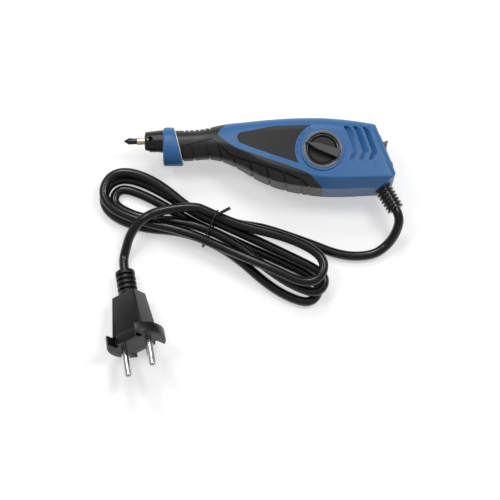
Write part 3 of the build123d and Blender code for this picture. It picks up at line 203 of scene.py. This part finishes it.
# Smaller mouldings share a grain
FINE_GRAIN = 0.4 * MM
pale_gasket = moulded(
    "pale_gasket", (0.5, 0.52, 0.56), roughness=0.4, grain=FINE_GRAIN, depth=0.01 * MM
)
nose_plastic = moulded(
    "nose_plastic", (0.007, 0.007, 0.008), roughness=0.3, grain=FINE_GRAIN, depth=0.015 * MM, mottle=0.1
)
bezel_plastic = moulded(
    "bezel_plastic", (0.12, 0.135, 0.155), roughness=0.36, grain=FINE_GRAIN, depth=0.004 * MM
)
dial_plastic = moulded(
    "dial_plastic", (0.006, 0.006, 0.0065), roughness=0.3, grain=FINE_GRAIN, depth=0.012 * MM, mottle=0.1
)
# Painted sheen: a lighter grey for the top faces of the knob's bar, which is the same black plastic as
# the knob
knob_bar_painted_sheen = moulded(
    "knob_bar_painted_sheen", (0.045, 0.045, 0.048), roughness=0.38, grain=0.5 * MM, depth=0.02 * MM,
    mottle=0.15, patch=1.5 * MM,
)
switch_plastic = moulded(
    "switch_plastic", (0.02, 0.02, 0.022), roughness=0.3, grain=FINE_GRAIN, depth=0.01 * MM, mottle=0.1
)

# Cord, relief, plug and tie: the cord and the relief are smooth
cord_sheath = moulded(
    "cord_sheath", (0.003, 0.003, 0.0035), roughness=0.26, grain=4 * MM, depth=0,
    mottle=0.1, patch=12 * MM, wear=0.015,
)
relief_rubber = moulded(
    "relief_rubber", (0.004, 0.004, 0.0045), roughness=0.24, grain=0.8 * MM, depth=0,
    mottle=0.1, gloss=0.6, wear=0.03,
)
plug_plastic = moulded(
    "plug_plastic", (0.006, 0.006, 0.007), roughness=0.36, grain=FINE_GRAIN, depth=0.02 * MM,
    mottle=0.12, gloss=0.4,
)
tie_coat = moulded(
    "tie_coat", (0.01, 0.01, 0.01), roughness=0.35, grain=FINE_GRAIN, depth=0.01 * MM
)

# Inner plastic and rubber
pale_plastic = moulded(
    "pale_plastic", (0.62, 0.6, 0.54), roughness=0.4, grain=0.5 * MM, depth=0.01 * MM
)
damper_rubber = moulded(
    "damper_rubber", (0.015, 0.015, 0.015), roughness=0.6, grain=0.5 * MM, depth=0.02 * MM
)
wire_sleeve = moulded(
    "wire_sleeve", (0.2, 0.08, 0.03), roughness=0.35, grain=0.6 * MM, depth=0.01 * MM
)

# Metals: marks run round the rod's axis, along it on the brass, and neither way on the pins
MARK_PITCH = 0.3 * MM
MARK_DEPTH = 0.004 * MM
needle_metal = turned("needle_metal", (0.06, 0.06, 0.062), 0.3, MARK_PITCH, MARK_DEPTH)
steel = turned("steel", (0.5, 0.5, 0.51), 0.28, MARK_PITCH, MARK_DEPTH)
black_steel = turned("black_steel", (0.03, 0.03, 0.032), 0.35, MARK_PITCH, MARK_DEPTH)
bronze = turned("bronze", (0.46, 0.29, 0.12), 0.4, MARK_PITCH, MARK_DEPTH)
brass = turned("brass", (0.93, 0.83, 0.55), 0.28, pitch=0.6 * MM, depth=0.001 * MM, stretch=(20, 1, 1))
pin_chrome = turned(
    "pin_chrome", (0.78, 0.78, 0.79), 0.16, pitch=4 * MM, depth=0, stretch=(1, 1, 1), centre=(0, 0, 0)
)
core_sheets = layered(
    "core_sheets", (0.1, 0.1, 0.11), (0.28, 0.28, 0.29), roughness=0.4, radian=0.5 * MM, depth=0.03 * MM
)
coil_wire = layered(
    "coil_wire", (0.22, 0.07, 0.02), (0.55, 0.21, 0.07), roughness=0.3, radian=0.3 * MM, depth=0.08 * MM
)


# Shapes

# Turns from which an edge is shaded sharp, in degrees
PLAIN_CREASE = 30
SHELL_CREASE = 24
RIBBED_CREASE = 50
ROUND_CREASE = 60

# Points closer than this are merged, and faces that turn by less than this become one
MERGE_GAP = 0.002 * MM
FLAT_TURN = math.radians(0.5)


def show(name, mesh, finish, body=HOME, replaces=()):
    """New piece in a finish, riding on a body, that stands for the CAD nodes it is made from."""
    piece = bpy.data.objects.new(name, mesh)
    bpy.context.scene.collection.objects.link(piece)
    piece.data.materials.clear()
    piece.data.materials.append(finish)
    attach(piece, body)
    if replaces:
        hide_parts(*replaces)
    return piece


def as_mesh(shape, name, crease=PLAIN_CREASE):
    """Mesh of a finished shape, shaded smooth but for open edges and those past the crease."""
    for face in shape.faces:
        face.smooth = True
    for edge in shape.edges:
        edge.smooth = len(edge.link_faces) == 2 and edge.calc_face_angle() < math.radians(crease)
    mesh = bpy.data.meshes.new(name)
    shape.to_mesh(mesh)
    shape.free()
    return mesh


def taken(node):
    """Merged copy of a CAD node's shape."""
    shape = bmesh.new()
    shape.from_mesh(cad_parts[node].data)
    bmesh.ops.remove_doubles(shape, verts=shape.verts, dist=MERGE_GAP)
    return shape


def eased(shape, width, turn, segments=2, where=None):
    """Rounds the outer edges of a shape that turn by an angle or more, where a test lets it."""
    bmesh.ops.dissolve_limit(
        shape, angle_limit=FLAT_TURN, verts=shape.verts, edges=shape.edges, use_dissolve_boundaries=False
    )
    chosen = []
    for edge in shape.edges:
        if len(edge.link_faces) != 2 or edge.calc_face_angle_signed() < math.radians(turn):
            continue
        if where is None or where(edge):
            chosen.append(edge)
    bmesh.ops.bevel(
        shape, geom=chosen, offset=width, offset_type="OFFSET", affect="EDGES", segments=segments,
        profile=0.5, material=-1, clamp_overlap=True,
    )
    return shape


def spun(profile, steps):
    """Closed ring spun round the Z axis, from a profile of radii and heights in millimetres."""
    shape = bmesh.new()
    corners = [shape.verts.new((radius * MM, 0, height * MM)) for radius, height in profile]
    edges = [shape.edges.new((near, far)) for near, far in zip(corners, corners[1:] + corners[:1])]
    bmesh.ops.spin(
        shape, geom=corners + edges, cent=(0, 0, 0), axis=(0, 0, 1), angle=math.tau, steps=steps,
        use_merge=True,
    )
    bmesh.ops.remove_doubles(shape, verts=shape.verts, dist=MERGE_GAP)
    bmesh.ops.recalc_face_normals(shape, faces=shape.faces)
    return shape


def dressed(node, name, finish, crease=PLAIN_CREASE, body=HOME, shape=None):
    """Piece in the place of a CAD node: a merged copy of it, or the shape given, in a finish."""
    mesh = as_mesh(shape or taken(node), name, crease)
    for layer in [item for item in mesh.attributes if item.name == "custom_normal"]:
        mesh.attributes.remove(layer)
    return show(name, mesh, finish, body, [node])


def finish_nodes(finish, *nodes):
    """Puts a finish on CAD nodes that are shown as they are."""
    for node in nodes:
        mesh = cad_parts[node].data
        mesh.materials.clear()
        mesh.materials.append(finish)


# Housing: two shells, the front collar and its gasket, the rubber over each shell, the nose and the label
LOUVRE_DEPTH = 2.0 * MM
LOUVRE_EXTRA = 1.7 * MM
LOUVRE_ZONE = ((12 * MM, 40 * MM), (-8 * MM, 17 * MM))
LOUVRE_TOLERANCE = 0.05 * MM
COLLAR_FRONT_X = -100.2 * MM
COLLAR_FRONT_DEPTH = 4 * MM
COLLAR_EDGE = 1.0 * MM


def deeper_louvres(shape):
    """Lets the feet of the louvres down, so that their walls are in shade."""
    (left, right), (front, back) = LOUVRE_ZONE
    for vert in shape.verts:
        inside = left < vert.co.x < right and front < vert.co.y < back
        if inside and abs(vert.co.z - TOP_Z + LOUVRE_DEPTH) < LOUVRE_TOLERANCE:
            vert.co.z -= LOUVRE_EXTRA
    return shape


def collar_rear_edge(edge):
    """Whether an edge is on the collar's slanted rear."""
    return min(vert.co.x for vert in edge.verts) > COLLAR_FRONT_X + COLLAR_FRONT_DEPTH


dial_side = deeper_louvres(taken("dial_side_shell"))
collar = eased(taken("collar_ring"), COLLAR_EDGE, turn=40, segments=3, where=collar_rear_edge)
dressed("dial_side_shell", "blue_dial_side", blue_plastic, SHELL_CREASE, shape=dial_side)
dressed("back_shell", "blue_back_side", blue_plastic, SHELL_CREASE)
dressed("collar_ring", "blue_collar", blue_plastic, shape=collar)
dressed("grip_dial_side", "grip_pads_dial_side", grip_rubber, SHELL_CREASE)
dressed("grip_back_side", "grip_pads_back_side", grip_rubber, SHELL_CREASE)
dressed("collar_gasket", "pale_collar_gasket", pale_gasket)
dressed("nose_cone", "black_nose", nose_plastic)
dressed("label_plate", "bare_label", label_plastic)

# Dial: a ring with a rounded lip, and a knob whose bar's top is a lighter grey, a painted sheen
BEZEL_PROFILE = [
    (10.35, 36.5), (10.35, 38.9), (10.5, 39.15), (10.8, 39.3), (11.0, 39.22), (11.2, 39.3),
    (11.9, 39.32), (12.15, 39.2), (12.2, 38.97), (11.55, 38.97), (11.55, 36.5),
]
BEZEL_STEPS = 96
KNOB_EDGE = 0.18 * MM
BAR_TOP = 42.0 * MM

bezel = spun(BEZEL_PROFILE, BEZEL_STEPS)
dressed("dial_bezel", "grey_bezel", bezel_plastic, shape=bezel)
knob = eased(taken("dial_knob"), KNOB_EDGE, turn=50)
pointed_knob = dressed("dial_knob", "pointed_knob", dial_plastic, body="dial", shape=knob)
pointed_knob.data.materials.append(knob_bar_painted_sheen)
# Faces above the bar's top height take the lighter grey of the painted sheen
for face in pointed_knob.data.polygons:
    face.material_index = 1 if face.center.z > BAR_TOP else 0

# Needle and holder, a little thicker in front of their necks
NEEDLE_NECK_X = -116.95 * MM
NEEDLE_CORE = 0.1 * MM
NEEDLE_WIDER = 1.17
HOLDER_NECK_X = -110.5 * MM
HOLDER_BORE = 1.6 * MM
HOLDER_WIDER = 1.25
HOLDER_EDGE = 0.3 * MM


def widened(shape, front_of, inner, wider):
    """Widens what lies in front of a place and outside a radius, about the rod's axis."""
    for vert in shape.verts:
        reach = math.hypot(vert.co.y - ROD_Y, vert.co.z - MID_Z)
        if vert.co.x < front_of and reach > inner:
            vert.co.y = ROD_Y + (vert.co.y - ROD_Y) * wider
            vert.co.z = MID_Z + (vert.co.z - MID_Z) * wider
    return shape


needle = widened(taken("needle"), NEEDLE_NECK_X, NEEDLE_CORE, NEEDLE_WIDER)
holder = widened(taken("needle_holder"), HOLDER_NECK_X, HOLDER_BORE, HOLDER_WIDER)
holder = eased(holder, HOLDER_EDGE, turn=50)
dressed("needle", "carbide_needle", needle_metal, body="striker", shape=needle)
dressed("needle_holder", "brass_holder", brass, body="striker", shape=holder)

# Plug
PLUG_EDGE = 0.6 * MM
plug = eased(taken("plug_body"), PLUG_EDGE, turn=35)
dressed("plug_body", "black_plug", plug_plastic, shape=plug)

# Strain relief, in millimetres: rings with rounded crests, smaller towards the tip
RELIEF_RIBS = 7
RELIEF_RIB_SHARE = 0.5
RELIEF_BASE_RADIUS = 5.8
RELIEF_TIP_RADIUS = 5.4
RELIEF_CORE_RADIUS = 4.4
RELIEF_BORE_RADIUS = 3.0
RELIEF_ROUND = 0.35
RELIEF_ROUND_SHARE = 0.3
RELIEF_SINK = 1.0
RELIEF_STEPS = 48


def ribbed_sleeve():
    """Sleeve with rounded ribs that shrink to its tip, from its seat on the housing."""
    length = RELIEF_LENGTH / MM
    pitch = length / (RELIEF_RIBS - 1 + RELIEF_RIB_SHARE)
    step = RELIEF_ROUND * RELIEF_ROUND_SHARE
    profile = [(RELIEF_BORE_RADIUS, -RELIEF_SINK), (RELIEF_CORE_RADIUS, -RELIEF_SINK)]
    for index in range(RELIEF_RIBS):
        near = index * pitch
        far = near + pitch * RELIEF_RIB_SHARE
        crest = RELIEF_BASE_RADIUS + (RELIEF_TIP_RADIUS - RELIEF_BASE_RADIUS) * near / length
        shoulder = crest - RELIEF_ROUND
        middle = crest - step
        profile += [(RELIEF_CORE_RADIUS, near), (shoulder, near), (middle, near + step)]
        profile += [(crest, near + RELIEF_ROUND), (crest, far - RELIEF_ROUND)]
        profile += [(middle, far - step), (shoulder, far)]
        if index < RELIEF_RIBS - 1:
            profile.append((RELIEF_CORE_RADIUS, far))
    profile.append((RELIEF_BORE_RADIUS, length))
    shape = spun(profile, RELIEF_STEPS)
    stand = UP.rotation_difference(RELIEF_WAY).to_matrix()
    bmesh.ops.rotate(shape, verts=shape.verts, cent=(0, 0, 0), matrix=stand)
    bmesh.ops.translate(shape, verts=shape.verts, vec=RELIEF_SEAT)
    return shape


relief = ribbed_sleeve()
dressed("strain_relief", "ribbed_relief", relief_rubber, RIBBED_CREASE, shape=relief)
dressed("plug_pins", "bright_pins", pin_chrome, ROUND_CREASE)

# Rocker: a V of two wings, tilted about its pivot, one end standing out. Outline in millimetres
REAR_FACE_SLANT = 21.4
ROCKER_TILT = 11.0
ROCKER_PIVOT = Vector((38.4011, 1.3014, 19.0)) * MM
ROCKER_ANGLE = math.radians(REAR_FACE_SLANT + 90 - ROCKER_TILT)
ROCKER_WIDTH = 9.8 * MM
ROCKER_EDGE = 0.35 * MM
ROCKER_OUTLINE = [(7.4, -1.5), (7.5, 3.3), (7.88, 5.12), (6.4, 4.5), (3.2, 3.1), (0, 2.4)]


def rocker_shape():
    """The rocker's outline, with the other wing mirrored, drawn out across the pen's thickness."""
    wings = ROCKER_OUTLINE + [(-x, y) for x, y in reversed(ROCKER_OUTLINE[:-1])]
    way = Vector((math.cos(ROCKER_ANGLE), math.sin(ROCKER_ANGLE), 0))
    out = Vector((way.y, -way.x, 0))
    low = ROCKER_PIVOT - UP * ROCKER_WIDTH / 2
    shape = bmesh.new()
    rim = [shape.verts.new(low + (way * x + out * y) * MM) for x, y in wings]
    base = shape.faces.new(rim)
    grown = bmesh.ops.extrude_face_region(shape, geom=[base])["geom"]
    moved = [item for item in grown if isinstance(item, bmesh.types.BMVert)]
    bmesh.ops.translate(shape, verts=moved, vec=UP * ROCKER_WIDTH)
    bmesh.ops.recalc_face_normals(shape, faces=shape.faces)
    return eased(shape, ROCKER_EDGE, turn=25)


rocker = rocker_shape()
dressed("switch_rocker", "rocker_wings", switch_plastic, body="rocker", shape=rocker)

# Numbers 1 to 6 round the dial, faint in a darker blue
NUMBER_ANGLES = (99.6, 121.0, 141.0, 157.5, 172.0, 186.0)
NUMBER_RADIUS = 15.9 * MM
NUMBER_SIZE = 2.6 * MM
NUMBER_THICK = 0.03 * MM


def dial_numbers():
    """The numbers as thin flat pieces in one mesh, each upright at its place."""
    shape = bmesh.new()
    for count, angle in enumerate(NUMBER_ANGLES, 1):
        words = bpy.data.curves.new("number", "FONT")
        words.body = str(count)
        words.size = NUMBER_SIZE
        words.align_x = "CENTER"
        words.align_y = "CENTER"
        words.extrude = NUMBER_THICK
        words.resolution_u = 3
        figure = bpy.data.objects.new("number", words)
        bpy.context.scene.collection.objects.link(figure)
        flat = bpy.data.meshes.new_from_object(figure)
        turn = math.radians(angle)
        place = (NUMBER_RADIUS * math.cos(turn), NUMBER_RADIUS * math.sin(turn), TOP_Z)
        flat.transform(Matrix.Translation(place))
        shape.from_mesh(flat)
        bpy.data.objects.remove(figure)
    return shape


show("dial_numbers", as_mesh(dial_numbers(), "dial_numbers"), number_blue)

# Spring, with a mesh of its own
spring = dressed("return_spring", "hammer_spring", steel, ROUND_CREASE)
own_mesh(spring)

# Pieces that are shown as the CAD has them
finish_nodes(switch_plastic, "switch_body")
finish_nodes(plug_plastic, "plug_bridge")
finish_nodes(cord_sheath, "cord_sheath_end")
finish_nodes(steel, "plunger_rod", "armature_nut", "core_rivets", "spindle_clip", "dial_washer")
finish_nodes(steel, "tension_slide", "cord_clamp", "clamp_screws", "housing_screws")
finish_nodes(black_steel, "grub_screw")
finish_nodes(bronze, "front_bush", "rear_bush")
finish_nodes(brass, "switch_terminals")
finish_nodes(damper_rubber, "stop_damper")
finish_nodes(core_sheets, "core_laminations", "armature")
finish_nodes(pale_plastic, "coil_bobbin", "dial_spindle")
finish_nodes(coil_wire, "coil_winding")
finish_nodes(wire_sleeve, "lead_wires")


# Cord: one spline from the strain relief, through the hank, to the plug. Its points are in millimetres
CORD_DIAMETER = 6.0 * MM
CORD_RADIUS = CORD_DIAMETER / 2
CORD_SIDES = 5
LEAD_RUN = 5.5
LEAD_BENDS = [
    (47.5, -46.5, 11.0), (42.0, -53.7, 3.6), (32.0, -60.5, 3.0), (13.0, -60.8, 3.0), (-9.9, -51.5, 3.0),
]
TAIL_RUN = 8.0
TAIL_BENDS = [(-98.0, -33.5, 17.2), (-111.5, -37.8, 17.4), (-120.8, -47.2, 12.4), (-124.6, -58.0, 4.2)]
PLUG_ENTRY = Vector((-124.5, -72.0, 5.976))
PLUG_RISE = 12.3
PLUG_REACH = 44.5
PLUG_TILT = math.atan2(PLUG_RISE, PLUG_REACH)
PLUG_HEADING = math.radians(-79.9)
PLUG_WAY = Vector((
    math.cos(PLUG_HEADING) * math.cos(PLUG_TILT),
    math.sin(PLUG_HEADING) * math.cos(PLUG_TILT),
    math.sin(PLUG_TILT),
))

# Hank: places where it passes the tie, across it and up, and its loops, to the left and right in turn.
# A loop has its reach, half width, shift across the hank and height. The right loops fan out.
HANK_CENTRE = Vector((-70.7, -45.0, 0))
HANK_LEFT_ANGLE = 157.5
HANK_RIGHT_ANGLE = -26.5
HANK_HEADING = math.radians((HANK_LEFT_ANGLE - 180 + HANK_RIGHT_ANGLE) / 2)
HANK_WAY = Vector((math.cos(HANK_HEADING), math.sin(HANK_HEADING), 0))
HANK_SIDE = Vector((-HANK_WAY.y, HANK_WAY.x, 0))
GROUND = 3.0
SECOND_LAYER = 9.5
WAIST_LIFT = 1.1
WAIST_PASSES = [(6.8, GROUND), (-6.3, GROUND), (0.5, GROUND), (-0.8, 9.2), (6.0, 9.4), (-7.9, 11.4)]
LOOPS = [
    (72.0, 13.8, -0.8, GROUND),
    (78.4, 9.0, -6.2, GROUND),
    (65.2, 7.0, -1.2, GROUND),
    (80.0, 7.8, -0.5, 9.0),
    (73.0, 13.8, 2.0, SECOND_LAYER),
    (76.4, 11.2, 4.8, 17.2),
]
SHOULDER_SHARE = 1.08
SHOULDER_REST = 1.6
TOP_PASS = (8.6, 16.5)
ENTRY_TURN = math.radians(15.0)
ENTRY_ALONG = 20.5
ENTRY_ACROSS = 13.9
LOOP_QUARTERS = ("waist", "shoulder out", "end", "shoulder back")


def hank_spot(along, across, height):
    """Place in the hank, along its axis, across it and up, in millimetres."""
    return HANK_CENTRE + HANK_WAY * along + HANK_SIDE * across + UP * height


def hank_node(loop, quarter):
    """Place and way of the cord at a quarter of a loop, in millimetres."""
    leftward = loop % 2 == 0
    if quarter == "waist":
        across, height = WAIST_PASSES[loop]
        return hank_spot(0, across, height + WAIST_LIFT), HANK_WAY * (-1 if leftward else 1)
    reach, half, shift, height = LOOPS[loop]
    angle = math.radians(HANK_LEFT_ANGLE if leftward else HANK_RIGHT_ANGLE)
    axis = Vector((math.cos(angle), math.sin(angle), 0))
    swing = Vector((-axis.y, axis.x, 0))
    base = HANK_CENTRE + UP * height + HANK_SIDE * shift
    if quarter == "end":
        return base + axis * reach, swing
    shoulder = base + axis * (reach - half * SHOULDER_SHARE - SHOULDER_REST)
    if quarter == "shoulder out":
        return shoulder - swing * half, axis
    return shoulder + swing * half, -axis


def turn_points(start, start_way, end, end_way):
    """The two spline points that lead smoothly from one place and way to another."""
    gap = end - start
    both = start_way + end_way
    square = 4 - both.dot(both)
    half = gap.dot(both)
    reach = (math.sqrt(half * half + square * gap.dot(gap)) - half) / square
    return [start + start_way * reach, end - end_way * reach]


def cord_points():
    """Points of the whole cord's spline, in millimetres."""
    relief_tip = (RELIEF_SEAT + RELIEF_WAY * RELIEF_LENGTH) / MM
    start_way = (HANK_WAY * -math.cos(ENTRY_TURN) - HANK_SIDE * math.sin(ENTRY_TURN)).normalized()
    entry = hank_spot(ENTRY_ALONG, ENTRY_ACROSS, GROUND)
    top_waist = hank_spot(0, *TOP_PASS)
    points = [relief_tip, relief_tip + RELIEF_WAY * LEAD_RUN]
    points += [Vector(bend) for bend in LEAD_BENDS]
    points += [entry - start_way * LEAD_RUN * 2, entry]
    nodes = [(entry + start_way * CORD_DIAMETER / MM, start_way)]
    nodes += [hank_node(loop, quarter) for loop in range(len(LOOPS)) for quarter in LOOP_QUARTERS]
    nodes += [(top_waist, -HANK_WAY)]
    for near, far in zip(nodes, nodes[1:]):
        points += turn_points(*near, *far)
    hank_end = top_waist - HANK_WAY * CORD_DIAMETER / MM
    points += [hank_end, hank_end - HANK_WAY * TAIL_RUN]
    points += [Vector(bend) for bend in TAIL_BENDS]
    points += [PLUG_ENTRY - PLUG_WAY * TAIL_RUN, PLUG_ENTRY]
    return points


def spline_curve(name, points, radius, sides):
    """Round tube along one smooth spline through the given points, in metres."""
    curve = bpy.data.curves.new(name, "CURVE")
    curve.dimensions = "3D"
    curve.bevel_depth = radius
    curve.bevel_resolution = sides
    curve.resolution_u = 8
    curve.use_fill_caps = True
    spline = curve.splines.new("NURBS")
    spline.points.add(len(points) - 1)
    for knot, point in zip(spline.points, points):
        knot.co = (*point, 1)
    spline.order_u = 3
    spline.use_endpoint_u = True
    spline.use_smooth = True
    return curve


# Wire tie: a loop round the strands at the waist, given by places across the hank and up, and its two
# ends twisted together. Its places and the twist's sizes are in millimetres
TIE_RADIUS = 0.55 * MM
TIE_SIDES = 3
TIE_LOOP = [
    (-8.0, 0.6), (-11.2, 2.5), (-11.4, 11.5), (-8.0, 14.6), (0.0, 16.6), (6.5, 20.4), (10.4, 20.2),
    (12.4, 16.5), (10.8, 8.0), (9.8, 1.6), (6.0, 0.6),
]
TWIST_START = (6.8, 20.6)
TWIST_WAY = (HANK_SIDE * 0.75 + HANK_WAY * 0.6 + UP * 0.12).normalized()
TWIST_LENGTH = 11.0
TWIST_RADIUS = 0.62
TWIST_TURNS = 3
TWIST_STEPS = 24


def twisted_end(phase):
    """Points of one end of the tie, wound round the other, in metres."""
    beside = TWIST_WAY.cross(UP).normalized()
    above = beside.cross(TWIST_WAY)
    start = hank_spot(0, *TWIST_START)
    end = []
    for step in range(TWIST_STEPS + 1):
        share = step / TWIST_STEPS
        angle = phase + share * TWIST_TURNS * math.tau
        swing = beside * math.cos(angle) + above * math.sin(angle)
        end.append((start + TWIST_WAY * TWIST_LENGTH * share + swing * TWIST_RADIUS) * MM)
    return end


def wire_tie():
    """The tie as one mesh made of its loop and its two twisted ends."""
    loop = [hank_spot(0, across, height) * MM for across, height in TIE_LOOP]
    shape = bmesh.new()
    for points in [loop, twisted_end(0), twisted_end(math.pi)]:
        curve = spline_curve("tie_strand", points, TIE_RADIUS, TIE_SIDES)
        curve.splines[0].use_cyclic_u = points is loop
        strand = bpy.data.objects.new("tie_strand", curve)
        bpy.context.scene.collection.objects.link(strand)
        shape.from_mesh(bpy.data.meshes.new_from_object(strand))
        bpy.data.objects.remove(strand)
    return shape


dressed("cord_tie", "wire_tie", tie_coat, ROUND_CREASE, shape=wire_tie())

cord_route = [point * MM for point in cord_points()]
cord_curve = spline_curve("mains_cord", cord_route, CORD_RADIUS, CORD_SIDES)
cord_nodes = ["cord_lead", "cord_hank", "cord_tail"]
cord = show("mains_cord", cord_curve, cord_sheath, replaces=cord_nodes)


# Floor, light and camera
FLOOR_SIZE = 3.0
FLOOR_DROP = 0.05 * MM
FLOOR_ROUGHNESS = 0.9
FLOOR_UNSEEN = (0.75, 0.75, 0.75)
FLOOR_SEEN = (0.66, 0.66, 0.66)
FLOOR_GLOW = 0.45
SURROUND_STRENGTH = 0.34

# Each lamp has its place, side and radiance
LAMP_AIM = Vector((-0.04, -0.04, 0))
LAMPS = {
    "back": ((-0.2, 0.95, 1.1), 0.4, 13.0),
    "right": ((0.5, 0.3, 1.15), 0.35, 13.0),
    "left": ((-0.6, 0.3, 1.1), 0.3, 11.0),
}

CAMERA_TARGET = Vector((-45.4, -56.0, 0)) * MM
CAMERA_ELEVATION = math.radians(77.5)
CAMERA_DISTANCE = 1300 * MM
CAMERA_LENS = 147
CAMERA_SENSOR = 36


def white_floor():
    """Pale floor that keeps the shadow. It looks white to the camera and in reflections."""
    shape = bmesh.new()
    bmesh.ops.create_grid(shape, x_segments=1, y_segments=1, size=FLOOR_SIZE)
    bmesh.ops.translate(shape, verts=shape.verts, vec=(0, 0, -FLOOR_DROP))
    mesh = bpy.data.meshes.new("floor")
    shape.to_mesh(mesh)
    shape.free()
    floor = bpy.data.objects.new("floor", mesh)
    bpy.context.scene.collection.objects.link(floor)
    finish, tree, shader = new_finish("floor_white", FLOOR_UNSEEN, FLOOR_ROUGHNESS)
    path = tree.nodes.new("ShaderNodeLightPath")
    seen = larger(tree, path.outputs["Is Camera Ray"], path.outputs["Is Glossy Ray"])
    seen = larger(tree, seen, path.outputs["Is Transmission Ray"])
    tree.links.new(shaded(tree, seen, FLOOR_UNSEEN, FLOOR_SEEN), shader.inputs["Base Color"])
    shader.inputs["Emission Color"].default_value = (1, 1, 1, 1)
    tree.links.new(ranged(tree, seen, 0.0, FLOOR_GLOW), shader.inputs["Emission Strength"])
    shader.inputs["Specular IOR Level"].default_value = 0.0
    mesh.materials.append(finish)


def lamp(name, place, size, radiance):
    """Square soft light of a side and a radiance, aimed at the pen."""
    data = bpy.data.lights.new(name, "AREA")
    data.size = size
    data.energy = radiance * math.pi * size * size
    light = bpy.data.objects.new(name, data)
    light.location = place
    light.rotation_euler = (LAMP_AIM - Vector(place)).to_track_quat("-Z", "Y").to_euler()
    bpy.context.scene.collection.objects.link(light)


def studio():
    """Soft light from above and the back, and a pale surrounding."""
    world = bpy.data.worlds.new("studio")
    world.use_nodes = True
    surround = world.node_tree.nodes["Background"]
    surround.inputs["Color"].default_value = (1, 1, 1, 1)
    surround.inputs["Strength"].default_value = SURROUND_STRENGTH
    bpy.context.scene.world = world
    for name, (place, size, radiance) in LAMPS.items():
        lamp(name, place, size, radiance)


def camera_view():
    """Camera at the photograph's height and distance, upright and without a turn to the side."""
    back = Vector((0, -math.cos(CAMERA_ELEVATION), math.sin(CAMERA_ELEVATION)))
    data = bpy.data.cameras.new("photo_camera")
    data.lens = CAMERA_LENS
    data.sensor_width = CAMERA_SENSOR
    camera = bpy.data.objects.new("photo_camera", data)
    camera.location = CAMERA_TARGET + back * CAMERA_DISTANCE
    camera.rotation_euler = (-back).to_track_quat("-Z", "Y").to_euler()
    bpy.context.scene.collection.objects.link(camera)
    bpy.context.scene.camera = camera


white_floor()
studio()
camera_view()
bpy.context.scene.view_settings.view_transform = "Standard"
